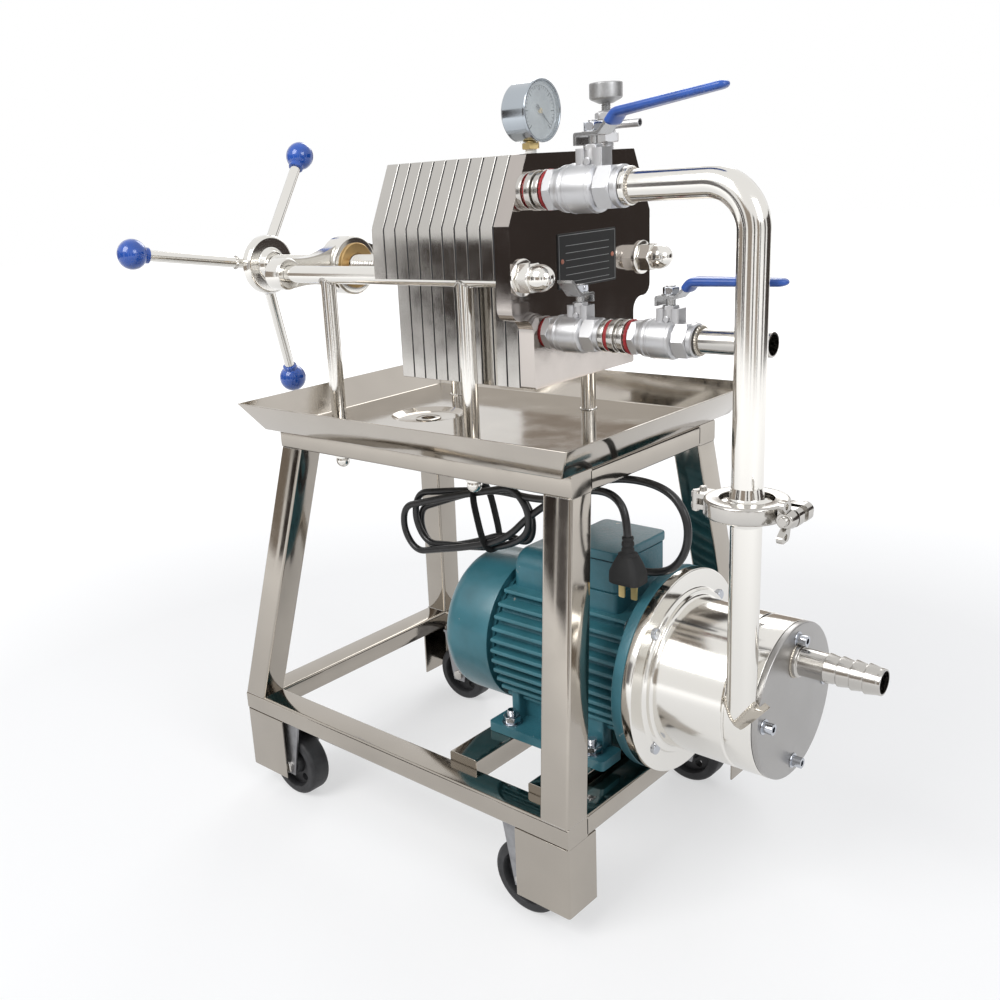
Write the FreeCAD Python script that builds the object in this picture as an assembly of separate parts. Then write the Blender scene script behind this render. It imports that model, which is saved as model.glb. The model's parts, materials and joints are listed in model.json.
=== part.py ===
import FreeCAD, Part
import os
from math import pi, sin, cos, tan, radians, sqrt

os.makedirs("parts", exist_ok=True)
V = FreeCAD.Vector
X, Y, Z = V(1, 0, 0), V(0, 1, 0), V(0, 0, 1)

# ---- Driving dimensions, mm. Layout frame: x = 0 at the tray's middle, the press
# ---- axis along X towards the pump, z = 0 on the floor.
SHIFT = (-10.75, 7.0)             # moves the layout so the whole's footprint is centred

# cart
LEG = 32.0                        # square tube of the legs and the rings
WALL = 2.0
RAIL_H = 22.0                     # height of the ring rails
LOW_X0, LOW_X1 = -242.0, 224.0    # lower ring, outer edges
LOW_Y0, LOW_Y1 = -182.0, 168.0
LOW_TOP = 120.0
TOP_X0, TOP_X1 = -196.0, 197.0    # upper ring, outer edges
TOP_Y0, TOP_Y1 = -128.0, 122.0
TOP_TOP = 434.0
SKIRT_W, SKIRT_D, SKIRT_T, SKIRT_Z = 62.0, 44.0, 2.0, 25.0
WHEEL_R, WHEEL_W, AXLE_R = 37.5, 26.0, 4.0
WHEEL_IN_X = 60.0                 # wheel axis in from the ring's outer end
WHEEL_IN_Y = 24.0                 # wheel middle in from the ring's outer side
FORK_T = 2.5

# tray
TRAY_HX, TRAY_HY = 220.0, 165.0   # rim, half sizes
TRAY_RIM, TRAY_FLOOR = 466.0, 436.5
TRAY_T = 1.5
TRAY_SLOPE = 20.0                 # how far the floor stands in from the rim
DISH_X, DISH_Y, DISH_R, DISH_DEPTH, DRAIN_R = -84.0, -6.0, 41.0, 4.0, 9.0

# press
ROD_Y, ROD_Z, ROD_R = 97.0, 598.0, 9.0
HEAD_X = 126.0                    # outer face of the fixed head
HEAD_T = 17.0
SLAB_N = 9                        # plates between the two heads
SLAB_T = 13.3
GAP = 1.75                        # filter cloth gap between neighbours
MOVE_T = 15.5
HALF_W, TOP_HALF, LOW_HALF = 112.5, 84.5, 82.0
Z_BOTTOM, Z_EAR, Z_HEAD_EAR = 495.0, 597.2, 560.0
Z_CHAMFER, Z_TOP = 643.0, 702.0
YOKE_X, YOKE_T = -191.0, 23.0     # yoke face towards the plates
BOSS_R, END_R = 33.0, 17.0
SCREW_R = 12.0
HUB_X = -334.0                    # hub face towards the yoke
BALL_X, SPOKE_R, SPOKE_A = -391.0, 165.0, 170.5
BALL_R = 17.5
STROKE = 50.0
BUSH_R = 20.0
GAUGE_Y, VENT_Y = -67.0, 50.0
POST_X = (-130.0, 59.0)
POST_R = 8.0

# pipework
UP_Y, UP_Z = -86.0, 671.0         # feed line
LO_Y, LO_Z = -61.0, 545.2         # outlet line
PORT_R = 8.0                      # ports through the plates and valves
PIPE_R, STUB_R, PIPE_WALL = 12.7, 10.2, 1.6
VALVE_LEFT, VALVE_RIGHT = 35.5, 26.2   # half inch ball valve, from its stem to its ends
VALVE_R = 17.0
LEVER_T = 2.6
BIG = 1.2                         # the feed valve is the next size up
UP_VALVE_X = 196.0
LO1_X, LO2_X = 162.7, 253.8
STUB_END = 345.0
RISER_X, ELBOW_R = 338.7, 38.0
CLAMP_Z = 419.0
FERRULE_R, CLAMP_R = 25.2, 33.0

# pump and motor
AX_Y, AX_Z = -14.0, 220.0
MOT_FLANGE_X = 236.0              # joint between the motor and the pump flange
FLANGE_R = 100.0
PUMP_R = 73.0
COVER_X, COVER_T = 354.0, 5.6
CAP_PCD, CAP_R, CAP_H = 60.0, 5.0, 9.0
BARB_Z, BARB_R, BARB_END = 260.0, 12.7, 430.0
BARB_PITCH, BARB_RINGS = 11.4, 4
BOLT_CIRCLE = 82.5                # motor flange bolts
COWL_X, COWL_END, COWL_R = 60.0, -6.0, 79.0
FOOT_Z = 130.0
FOOT_BOLTS = (82.0, 182.0)
BEARER_W, BEARER_IN = 35.0, 9.0   # cross tubes under the feet, centred inboard of the bolts
BOX_X0, BOX_X1 = 126.0, 196.0
BOX_Z0, BOX_Z1 = 300.0, 341.0
GAUGE_X0, GAUGE_Z = 103.0, 736.5
CORD_D = 7.5
CORD_A = [(198.0, -40.0, 322.0), (235.0, -42.0, 322.0), (259.8, -42.0, 346.8), (259.8, -38.0, 381.8),
          (235.0, -34.0, 406.4), (178.0, -26.0, 406.4), (128.0, -26.0, 388.0), (84.2, -37.0, 358.0)]
CORD_B = [(84.6, -47.1, 364.0), (108.0, -50.0, 376.0), (140.0, -54.0, 391.0), (172.0, -59.0, 401.0),
          (200.0, -66.0, 402.0), (216.0, -70.0, 386.0), (217.0, -71.0, 358.0)]
HANK_AT = (0.0, -40.0, 337.7)
HANK_TILT = 14.0
SEAT = 0.3                        # gap of a piece at rest on its seat
RUN = 0.05                        # radial clearance of a shaft in its hole


def box(x0, x1, y0, y1, z0, z1):
    return Part.makeBox(x1 - x0, y1 - y0, z1 - z0, V(x0, y0, z0))


def cyl(r, base, axis, length):
    return Part.makeCylinder(r, length, V(*base), axis)


def ring(r1, r0, base, axis, length):
    return cyl(r1, base, axis, length).cut(cyl(r0, base, axis, length))


def turn_x(profile, x, y, z, reverse=False):
    """Solid of revolution about a line along X; profile = (offset, radius) pairs."""
    sign = -1.0 if reverse else 1.0
    pts = [V(x + sign * a, y, z + r) for a, r in profile]
    pts = [V(pts[0].x, y, z)] + pts + [V(pts[-1].x, y, z)]
    clean = [pts[0]]
    for p in pts[1:]:
        if p.distanceToPoint(clean[-1]) > 1e-6:
            clean.append(p)
    face = Part.Face(Part.makePolygon(clean + [clean[0]]))
    return face.revolve(V(x, y, z), X, 360)


def turn_z(profile, x, y, z):
    """Solid of revolution about a vertical line; profile = (radius, height) pairs."""
    pts = [V(x + r, y, z + h) for r, h in profile]
    pts = [V(x, y, pts[0].z)] + pts + [V(x, y, pts[-1].z)]
    clean = [pts[0]]
    for p in pts[1:]:
        if p.distanceToPoint(clean[-1]) > 1e-6:
            clean.append(p)
    face = Part.Face(Part.makePolygon(clean + [clean[0]]))
    return face.revolve(V(x, y, z), Z, 360)


def ring_z(profile, x, y, z):
    """Ring turned about a vertical line; profile is its closed section as (radius, height)."""
    pts = [V(x + r, y, z + h) for r, h in profile]
    return Part.Face(Part.makePolygon(pts + [pts[0]])).revolve(V(x, y, z), Z, 360)


def hexagon(af, base, axis, length):
    """Hexagonal prism, af across the flats."""
    r = af / sqrt(3.0)
    if abs(axis.x) > 0.5:
        pts = [V(base[0], base[1] + r * cos(k * pi / 3), base[2] + r * sin(k * pi / 3))
               for k in range(6)]
    else:
        pts = [V(base[0] + r * cos(k * pi / 3), base[1] + r * sin(k * pi / 3), base[2])
               for k in range(6)]
    face = Part.Face(Part.makePolygon(pts + [pts[0]]))
    return face.extrude(axis * length)


def prism_x(pts, x0, x1):
    """Prism along X of a polygon given as (y, z) pairs."""
    vs = [V(x0, a, b) for a, b in pts]
    return Part.Face(Part.makePolygon(vs + [vs[0]])).extrude(V(x1 - x0, 0, 0))


def prism_y(pts, y0, y1):
    """Prism along Y of a polygon given as (x, z) pairs."""
    vs = [V(a, y0, b) for a, b in pts]
    return Part.Face(Part.makePolygon(vs + [vs[0]])).extrude(V(0, y1 - y0, 0))


def prism_z(pts, z0, z1):
    vs = [V(a, b, z0) for a, b in pts]
    return Part.Face(Part.makePolygon(vs + [vs[0]])).extrude(V(0, 0, z1 - z0))


def loft(wires):
    return Part.makeLoft(wires, True, True)


def rect(x0, x1, y0, y1, z):
    return Part.makePolygon([V(x0, y0, z), V(x1, y0, z), V(x1, y1, z), V(x0, y1, z),
                             V(x0, y0, z)])


def acorn_x(x, y, z, af, reach):
    """Dome nut with its washer, pointing along +X from x."""
    r = af / 2.0
    body = cyl(af * 0.66, (x, y, z), X, 2.0)
    body = body.fuse(hexagon(af, (x + 2.0, y, z), X, reach * 0.42))
    a = 2.0 + reach * 0.42
    dome = [(a, r * 0.96), (a + reach * 0.16, r * 0.96)]
    for k in range(1, 7):
        t = k * pi / 12
        dome.append((a + reach * 0.16 + reach * 0.42 * sin(t), max(r * 0.96 * cos(t), 0.0)))
    return body.fuse(turn_x(dome, x, y, z))


def acorn_down(x, y, z, af, reach):
    part = acorn_x(0, 0, 0, af, reach)
    part.rotate(V(0, 0, 0), Y, 90)
    part.translate(V(x, y, z))
    return part


def compound(shapes):
    return Part.makeCompound(shapes)


# ------------------------------------------------------------------ cart
def corner(sx, sy, top):
    """Outer corner of a ring at the given side signs."""
    if top:
        return (TOP_X1 if sx > 0 else TOP_X0, TOP_Y1 if sy > 0 else TOP_Y0)
    return (LOW_X1 if sx > 0 else LOW_X0, LOW_Y1 if sy > 0 else LOW_Y0)


def leg(sx, sy):
    """One battered leg of square tube between the two rings."""
    z0, z1 = LOW_TOP, TOP_TOP - RAIL_H
    outer, inner = [], []
    for top, z in ((False, z0), (True, z1)):
        cx, cy = corner(sx, sy, top)
        xs = sorted((cx, cx - sx * LEG))
        ys = sorted((cy, cy - sy * LEG))
        outer.append(rect(xs[0], xs[1], ys[0], ys[1], z))
        inner.append(rect(xs[0] + WALL, xs[1] - WALL, ys[0] + WALL, ys[1] - WALL, z))
    return loft(outer).cut(loft(inner))


def rails_x(x0, x1, y0, y1, top):
    """Two full-length side rails of one ring."""
    out = []
    for sy in (-1, 1):
        a, b = (y0, y0 + LEG) if sy < 0 else (y1 - LEG, y1)
        tube = box(x0, x1, a, b, top - RAIL_H, top)
        bore = box(x0 + WALL, x1 - WALL, a + WALL, b - WALL, top - RAIL_H + WALL, top - WALL)
        out.append(tube.cut(bore))
    return out


def rails_y(x0, x1, y0, y1, top, seat):
    """Two end rails of one ring, between its side rails."""
    out = []
    for sx in (-1, 1):
        a, b = (x0, x0 + LEG) if sx < 0 else (x1 - LEG, x1)
        tube = box(a, b, y0 + LEG + seat, y1 - LEG - seat, top - RAIL_H, top)
        bore = box(a + WALL, b - WALL, y0 + LEG, y1 - LEG, top - RAIL_H + WALL, top - WALL)
        out.append(tube.cut(bore))
    return out


def skirt(sx, sy):
    """Angle plate that hides a castor, welded under the ring's corner."""
    cx, cy = corner(sx, sy, False)
    z0, z1 = SKIRT_Z, LOW_TOP - RAIL_H
    xs = sorted((cx, cx - sx * SKIRT_W))
    ys = sorted((cy, cy - sy * SKIRT_T))
    a = box(xs[0], xs[1], ys[0], ys[1], z0, z1)
    xs = sorted((cx, cx - sx * SKIRT_T))
    ys = sorted((cy, cy - sy * SKIRT_D))
    return a.fuse(box(xs[0], xs[1], ys[0], ys[1], z0, z1)).removeSplitter()


def wheel_axis(sx, sy):
    cx, cy = corner(sx, sy, False)
    return (cx - sx * WHEEL_IN_X, cy - sy * WHEEL_IN_Y)


def fork(sx, sy):
    """Fixed castor fork: top plate, two cheeks and the axle bolt."""
    wx, wy = wheel_axis(sx, sy)
    top = LOW_TOP - RAIL_H
    half = WHEEL_W / 2 + 2.0
    plate = box(wx - 24, wx + 24, wy - half - FORK_T, wy + half + FORK_T, top - 3.0, top)
    out = plate
    for s in (-1, 1):
        y0 = wy + s * half
        y1 = y0 + s * FORK_T
        pts = [(wx - 22, top - 3), (wx + 22, top - 3), (wx + 9, WHEEL_R - 9), (wx - 9, WHEEL_R - 9)]
        out = out.fuse(prism_y(pts, min(y0, y1), max(y0, y1)))
    y0 = wy - half - FORK_T
    axle = cyl(AXLE_R, (wx, y0 - 1.0, WHEEL_R), Y, 2 * (half + FORK_T) + 2.0)
    return out.fuse(axle).removeSplitter()


def wheel(sx, sy):
    """Solid tread on a webbed disc with lightening holes and a hub."""
    wx, wy = wheel_axis(sx, sy)
    w, r = WHEEL_W / 2, WHEEL_R
    prof = [(-w, AXLE_R + RUN), (-w, 10), (-w + 6, 12), (-5, 12.5), (-5, 26), (-w, 27.5), (-w, r - 2),
            (-w + 2.5, r), (w - 2.5, r), (w, r - 2), (w, 27.5), (5, 26), (5, 12.5), (w - 6, 12),
            (w, 10), (w, AXLE_R + RUN)]
    pts = [V(wx, wy + a, WHEEL_R + b) for a, b in prof]
    body = Part.Face(Part.makePolygon(pts + [pts[0]])).revolve(V(wx, wy, WHEEL_R), Y, 360)
    for k in range(5):
        t = 2 * pi * k / 5 + 0.3
        body = body.cut(cyl(4.6, (wx + 19.3 * cos(t), wy - 8, WHEEL_R + 19.3 * sin(t)), Y, 16))
    return body


# ------------------------------------------------------------------ tray
def tray():
    """Drip tray: flat floor, sides sloping outwards, dished drain."""
    hx, hy, s, t = TRAY_HX, TRAY_HY, TRAY_SLOPE, TRAY_T
    low = TRAY_FLOOR - t
    outer = loft([rect(-hx + s, hx - s, -hy + s, hy - s, low), rect(-hx, hx, -hy, hy, TRAY_RIM)])
    k = t * 1.25
    inner = loft([rect(-hx + s + k, hx - s - k, -hy + s + k, hy - s - k, TRAY_FLOOR),
                  rect(-hx + k, hx - k, -hy + k, hy - k, TRAY_RIM + 0.01)])
    body = outer.cut(inner)
    r, d = DISH_R, DISH_DEPTH
    pan = ring_z([(r, -t), (r - 6, -t - d), (DRAIN_R, -t - d - 1), (DRAIN_R, -d - 1), (r - 6.6, -d),
                  (r, 0.0)], DISH_X, DISH_Y, TRAY_FLOOR)
    body = body.cut(cyl(r, (DISH_X, DISH_Y, low - 1), Z, 5)).fuse(pan)
    for px in POST_X:
        for sy in (-1, 1):
            body = body.cut(cyl(POST_R + SEAT, (px, sy * ROD_Y, low - 2), Z, 10))
    return body.removeSplitter()


def post(px, sy):
    """Post from a guide rod through the tray and the rail below it."""
    bottom = TOP_TOP - RAIL_H - 9.0
    y = sy * ROD_Y
    shaft = cyl(POST_R, (px, y, bottom), Z, ROD_Z - bottom - 2.0)
    shaft = shaft.cut(cyl(ROD_R, (px - 20, y, ROD_Z), X, 40))
    return shaft


# ------------------------------------------------------------------ press
def slab_outline(z_ear):
    """Half-plan of a plate seen along X: chamfered top, ears, narrow foot."""
    right = [(LOW_HALF, Z_BOTTOM), (LOW_HALF, z_ear), (HALF_W, z_ear), (HALF_W, Z_CHAMFER),
             (TOP_HALF, Z_TOP)]
    return right + [(-a, b) for a, b in reversed(right)]


def plate(x0, thick):
    """Plate whose hooked ears rest on the two guide rods."""
    body = prism_x(slab_outline(Z_EAR), x0, x0 + thick)
    for sy in (-1, 1):
        y = sy * ROD_Y
        body = body.cut(cyl(ROD_R + SEAT, (x0 - 1, y, ROD_Z), X, thick + 2))
        w = ROD_R + SEAT
        body = body.cut(box(x0 - 1, x0 + thick + 1, y - w, y + w, Z_EAR - 8, ROD_Z))
        hook = sorted((y + sy * w, sy * HALF_W))
        lip = box(x0, x0 + thick, hook[0], hook[1], Z_EAR - 1.0, Z_EAR + 2.0)
        body = body.fuse(lip)
    body = body.cut(port_bores(x0 - 1, thick + 2))
    return body.removeSplitter()


def port_bores(x0, length):
    """Feed port and the two filtrate ports through the plates."""
    out = cyl(PORT_R, (x0, UP_Y, UP_Z), X, length)
    for sy in (-1, 1):
        out = out.fuse(cyl(PORT_R, (x0, sy * LO_Y, LO_Z), X, length))
    return out


def fixed_head():
    """End plate that the rods bolt to; its foot blends into the ears."""
    x0, x1 = HEAD_X - HEAD_T, HEAD_X
    body = prism_x(slab_outline(Z_HEAD_EAR), x0, x1)
    picks = [e for e in body.Edges
             if abs(e.BoundBox.XLength - HEAD_T) < 0.1 and abs(e.BoundBox.Center.z - Z_HEAD_EAR) < 0.1]
    inner = [e for e in picks if abs(abs(e.BoundBox.Center.y) - LOW_HALF) < 0.1]
    outer = [e for e in picks if abs(abs(e.BoundBox.Center.y) - HALF_W) < 0.1]
    body = body.makeFillet(14.0, inner)
    outer = [e for e in body.Edges if abs(e.BoundBox.XLength - HEAD_T) < 0.1
             and abs(e.BoundBox.Center.z - Z_HEAD_EAR) < 0.1
             and abs(abs(e.BoundBox.Center.y) - HALF_W) < 0.1]
    body = body.makeFillet(12.0, outer)
    for sy in (-1, 1):
        body = body.cut(cyl(ROD_R + SEAT, (x0 - 1, sy * ROD_Y, ROD_Z), X, HEAD_T + 2))
    body = body.cut(cyl(PORT_R, (x0 - 1, UP_Y, UP_Z), X, HEAD_T + 2))
    body = body.cut(cyl(PORT_R, (x0 - 1, LO_Y, LO_Z), X, HEAD_T + 2))
    body = body.cut(cyl(4.5, (x0 + HEAD_T / 2, GAUGE_Y, Z_TOP - 12), Z, 20))
    body = body.cut(cyl(4.5, (x0 + HEAD_T / 2, VENT_Y, Z_TOP - 12), Z, 20))
    return body


def movable_head(x1):
    """Follower: hooked on the rods, with the collar that takes the screw's nose."""
    x0 = x1 - MOVE_T
    body = prism_x(slab_outline(Z_EAR), x0, x1)
    for sy in (-1, 1):
        y = sy * ROD_Y
        w = ROD_R + SEAT
        body = body.cut(cyl(w, (x0 - 1, y, ROD_Z), X, MOVE_T + 2))
        body = body.cut(box(x0 - 1, x1 + 1, y - w, y + w, Z_EAR - 8, ROD_Z))
        hook = sorted((y + sy * w, sy * HALF_W))
        body = body.fuse(box(x0, x1, hook[0], hook[1], Z_EAR - 1.0, Z_EAR + 2.0))
    collar = ring(25.0, SCREW_R + RUN, (x0 - 16.0, 0, ROD_Z), X, 16.0)
    body = body.fuse(collar).cut(cyl(SCREW_R + RUN, (x0 - 17, 0, ROD_Z), X, 25.0))
    return body.removeSplitter()


def yoke():
    """Cross-beam: screw boss in the middle, rod bosses at its ends, concave webs."""
    x1, x0 = YOKE_X, YOKE_X - YOKE_T
    centre = cyl(BOSS_R, (x0 - 2, 0, ROD_Z), X, YOKE_T + 4)
    ends = [cyl(END_R, (x0, sy * ROD_Y, ROD_Z), X, YOKE_T) for sy in (-1, 1)]
    pts = []
    n = 12
    for k in range(n + 1):
        t = k / n
        y = 24 + (ROD_Y - 8 - 24) * t
        h = 13.0 + (24.0 - 13.0) * (1 - t) ** 2.4 + 3.0 * t ** 3
        pts.append((y, ROD_Z + h))
    web = pts + [(a, 2 * ROD_Z - b) for a, b in reversed(pts)]
    body = centre
    for s in (-1, 1):
        body = body.fuse(prism_x([(s * a, b) for a, b in web], x0 + 3, x1 - 3))
    for e in ends:
        body = body.fuse(e)
    for sy in (-1, 1):
        body = body.cut(cyl(ROD_R + SEAT, (x0 - 5, sy * ROD_Y, ROD_Z), X, YOKE_T + 10))
    return body.cut(cyl(BUSH_R + SEAT, (x0 - 5, 0, ROD_Z), X, YOKE_T + 10)).removeSplitter()


def bushing():
    """Bronze screw nut in the yoke's boss, with a collar on the plates' side."""
    x0 = YOKE_X - YOKE_T
    body = cyl(BUSH_R, (x0 - 2, 0, ROD_Z), X, YOKE_T + 4)
    body = body.fuse(cyl(BUSH_R + 5, (YOKE_X + 2 + SEAT, 0, ROD_Z), X, 3.0))
    body = body.fuse(cyl(BUSH_R, (YOKE_X + 2, 0, ROD_Z), X, 3.0))
    return body.cut(cyl(SCREW_R + RUN, (x0 - 5, 0, ROD_Z), X, YOKE_T + 14)).removeSplitter()


def screw(x_nose):
    """Press screw with its hub and three spokes."""
    body = cyl(SCREW_R, (HUB_X - 20, 0, ROD_Z), X, x_nose - HUB_X + 20)
    hub = turn_x([(0, 16), (6, 18), (6, 34), (9, 35.5), (17, 35.5), (20, 34), (22, 22), (34, 19),
                  (36, 17)], HUB_X, 0, ROD_Z, reverse=True)
    body = body.fuse(hub)
    x0 = HUB_X - 26
    for k in range(3):
        a = radians(SPOKE_A + 120 * k)
        tip = V(BALL_X, SPOKE_R * cos(a), ROD_Z + SPOKE_R * sin(a))
        root = V(x0, 8 * cos(a), ROD_Z + 8 * sin(a))
        d = tip - root
        n = d.Length - BALL_R + 4
        body = body.fuse(Part.makeCylinder(6.5, n, root, d.normalize()))
    return body.removeSplitter()


def balls():
    out = []
    x0 = HUB_X - 26
    for k in range(3):
        a = radians(SPOKE_A + 120 * k)
        tip = V(BALL_X, SPOKE_R * cos(a), ROD_Z + SPOKE_R * sin(a))
        root = V(x0, 8 * cos(a), ROD_Z + 8 * sin(a))
        d = (tip - root).normalize()
        ball = Part.makeSphere(BALL_R, tip)
        neck = Part.makeCylinder(9.5, 8.0, tip - d * (BALL_R + 2.5), d)
        hole = Part.makeCylinder(6.5 + 0.05, BALL_R + 4 - 4 + 3.0, tip - d * (BALL_R + 6), d)
        out.append(ball.fuse(neck).cut(hole).removeSplitter())
    return out


# ------------------------------------------------------------------ valves
def valve_body(xc, y, z, k=1.0):
    """Two-piece ball valve: hexagon ends, stepped round body, stem pad and stop lug."""
    x0, x1 = xc - k * VALVE_LEFT, xc + k * VALVE_RIGHT
    r = k * VALVE_R
    n = (x1 - x0) / k
    steps = [(0, 0.80), (8.5, 0.80), (9.0, 0.86), (12.0, 0.88), (12.4, 0.94), (15.5, 0.96), (16.0, 0.92),
             (19.0, 0.92), (19.4, 1.0), (41.0, 1.0), (42.0, 0.9), (43.0, 0.80), (57.0, 0.80),
             (57.4, 0.84), (n, 0.82)]
    body = turn_x([(k * a, r * b) for a, b in steps], x0, y, z)
    body = body.fuse(hexagon(1.62 * r, (x0 + 0.5 * k, y, z), X, 8.0 * k))
    body = body.fuse(hexagon(1.66 * r, (x0 + 43.0 * k, y, z), X, 14.0 * k))
    body = body.fuse(box(xc - 10.5 * k, xc + 11.0 * k, y - 7.0 * k, y + 7.0 * k, z, z + 26.0 * k))
    body = body.fuse(cyl(6.5 * k, (xc, y, z + 25.0 * k), Z, 3.5 * k))
    body = body.fuse(cyl(2.6 * k, (xc, y - 8.5 * k, z + 17.5 * k), Y, 4.0 * k))
    bore = cyl(PORT_R, (x0 - 1, y, z), X, x1 - x0 + 2)
    stem_hole = cyl(4.0 + RUN, (xc, y, z), Z, 32.0 * k)
    return body.cut(bore).cut(stem_hole).removeSplitter()


def lever(xc, y, z, k=1.0, reach=25.0, turn=0.0):
    """Stem, nut and cranked arm, pointing along X and turned about the stem by turn degrees."""
    stem = cyl(4.0, (xc, y, z + 9.0), Z, 33.0 * k)
    out = stem.fuse(hexagon(12.5 * k, (xc, y, z + 34.0 * k + LEVER_T), Z, 6.0 * k))
    z0 = z + 34.0 * k
    t = LEVER_T
    arm = [(-11, -6), (-8.6, -6), (-8.6, 0), (9, 0), (22, 13), (reach, 13), (reach, 13 + t), (20.8, 13 + t),
           (8, t), (-11, t)]
    out = out.fuse(prism_y([(xc + k * a, z0 + k * b) for a, b in arm], y - 8.0 * k, y + 8.0 * k))
    out = out.removeSplitter()
    out.rotate(V(xc, y, z), Z, turn)
    return out


def grip(xc, y, z, length, rise, k=1.0):
    """Dipped sleeve over the lever's arm, narrowing to a round tip."""
    x0 = xc + 21.0 * k
    z0 = z + 47.0 * k + 1.3
    ends = []
    for a, w, h in ((0.0, 9.2 * k, 4.2), (length, 6.6, 3.2)):
        b = z0 + rise * a / length
        pts = [V(x0 + a, y - w, b - h), V(x0 + a, y + w, b - h), V(x0 + a, y + 0.8 * w, b + h),
               V(x0 + a, y - 0.8 * w, b + h)]
        ends.append(Part.makePolygon(pts + [pts[0]]))
    body = loft(ends).fuse(cyl(6.6, (x0 + length, y, z0 + rise - 3.2), Z, 6.4))
    return body.cut(lever(xc, y, z, k)).removeSplitter()


def union(x0, x1, y, z):
    """Short threaded union: collar, ring and nut, bored through."""
    n = x1 - x0
    prof = [(0, 14.0), (0.20, 14.6), (0.22, 13.0), (0.32, 13.0), (0.34, 15.0), (0.56, 15.2), (0.60, 13.4),
            (0.66, 13.4), (0.70, 15.0), (0.88, 15.0), (0.90, 13.2), (1.0, 13.2)]
    body = turn_x([(n * a, r) for a, r in prof], x0, y, z)
    return body.cut(cyl(PORT_R, (x0 - 1, y, z), X, n + 2))


# ------------------------------------------------------------------ pipes
def riser():
    """Delivery pipe: level run, elbow and drop to the clamp's upper ferrule."""
    x0 = UP_VALVE_X + BIG * VALVE_RIGHT + SEAT
    r, y, z = PIPE_R, UP_Y, UP_Z
    xe = RISER_X - ELBOW_R
    out = cyl(r, (x0, y, z), X, xe - x0)
    inn = cyl(r - PIPE_WALL, (x0 - 1, y, z), X, xe - x0 + 1)
    zc = z - ELBOW_R
    for rad, kind in ((r, 0), (r - PIPE_WALL, 1)):
        circle = Part.Face(Part.Wire(Part.makeCircle(rad, V(xe, y, z), X)))
        bend = circle.revolve(V(xe, y, zc), Y, 90)
        if kind == 0:
            out = out.fuse(bend)
        else:
            inn = inn.fuse(bend)
    z1 = CLAMP_Z + SEAT / 2
    out = out.fuse(cyl(r, (RISER_X, y, z1), Z, zc - z1))
    inn = inn.fuse(cyl(r - PIPE_WALL, (RISER_X, y, z1 - 1), Z, zc - z1 + 1))
    flare = turn_z([(FERRULE_R, 0), (FERRULE_R, 2.0), (FERRULE_R - 3.5, 4.2), (r + 1.5, 6.5),
                    (r, 16.0)], RISER_X, y, z1)
    flare = flare.fuse(cyl(15.5, (x0, y, z), X, 6.0))
    return out.fuse(flare).cut(inn).removeSplitter()


def drop_pipe():
    """Pipe from the clamp's lower ferrule to a pointed, welded saddle on the pump's side."""
    y = UP_Y
    z1 = CLAMP_Z - SEAT / 2
    foot = AX_Z + 14.0
    out = cyl(PIPE_R, (RISER_X, y, foot), Z, z1 - foot)
    below = [(RISER_X - 20, foot - 1), (RISER_X - 20, foot + 22), (RISER_X, foot), (RISER_X + 20, foot + 22),
             (RISER_X + 20, foot - 1)]
    out = out.cut(prism_y(below, y - 20, y + 20))
    saddle = [(RISER_X - 18, foot + 10), (RISER_X - PIPE_R, foot + 42), (RISER_X + PIPE_R - 2, foot + 42),
              (RISER_X + PIPE_R - 2, foot + 16), (RISER_X, foot + 1)]
    out = out.fuse(prism_y(saddle, y - 7.0, y + 14.0))
    flare = turn_z([(PIPE_R, -16.0), (PIPE_R + 1.5, -6.5), (FERRULE_R - 3.5, -4.2),
                    (FERRULE_R, -2.0), (FERRULE_R, 0)], RISER_X, y, z1)
    cover_edge = cyl(PUMP_R, (COVER_X - COVER_T, AX_Y, AX_Z), X, COVER_T + 10.0)
    return out.fuse(flare).cut(cover_edge)


def clamp():
    """Hinged two-part clamp round the ferrules, bolt and wing nut."""
    x, y, z = RISER_X, UP_Y, CLAMP_Z
    body = turn_z([(CLAMP_R, -7.5), (CLAMP_R + 1, -6), (CLAMP_R + 1, 6), (CLAMP_R, 7.5)], x, y, z)
    groove = turn_z([(18.0, -9.0), (20.5, -7.6), (FERRULE_R + SEAT, -3.4), (FERRULE_R + SEAT, 3.4),
                     (20.5, 7.6), (18.0, 9.0)], x, y, z)
    body = body.cut(groove).cut(cyl(20.5, (x, y, z - 10), Z, 20))
    return body


def clamp_ears():
    """Clamp with its ears, bolt, wing nut and hinge links as one piece."""
    x, y, z = RISER_X, UP_Y, CLAMP_Z
    body = clamp()
    for s in (-1, 1):
        a = sorted((y + s * 3.5, y + s * 12.0))
        body = body.fuse(box(x + CLAMP_R - 4, x + CLAMP_R + 17, a[0], a[1], z - 7, z + 7))
    body = body.cut(box(x + CLAMP_R - 12, x + CLAMP_R + 20, y - 3.5, y + 3.5, z - 9, z + 9))
    xb = x + CLAMP_R + 9
    body = body.fuse(cyl(4.0, (xb, y - 26, z), Y, 44))
    nut = cyl(8.0, (xb, y - 22, z), Y, 9)
    wings = box(xb - 3.0, xb + 3.0, y - 31, y - 14, z - 17, z + 17)
    wings = wings.cut(cyl(3.6, (xb - 4, y - 24, z + 10), X, 8)).cut(cyl(3.6, (xb - 4, y - 24, z - 10), X, 8))
    body = body.fuse(nut).fuse(wings)
    for s in (-1, 1):
        zz = z + s * 4.6
        body = body.fuse(box(x - CLAMP_R - 14, x - CLAMP_R + 4, y - 9, y + 9, zz - 2.0, zz + 2.0))
    for s in (-1, 1):
        body = body.fuse(cyl(3.0, (x - CLAMP_R - 9, y + s * 6.0, z - 9), Z, 18))
    return body.removeSplitter()


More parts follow.
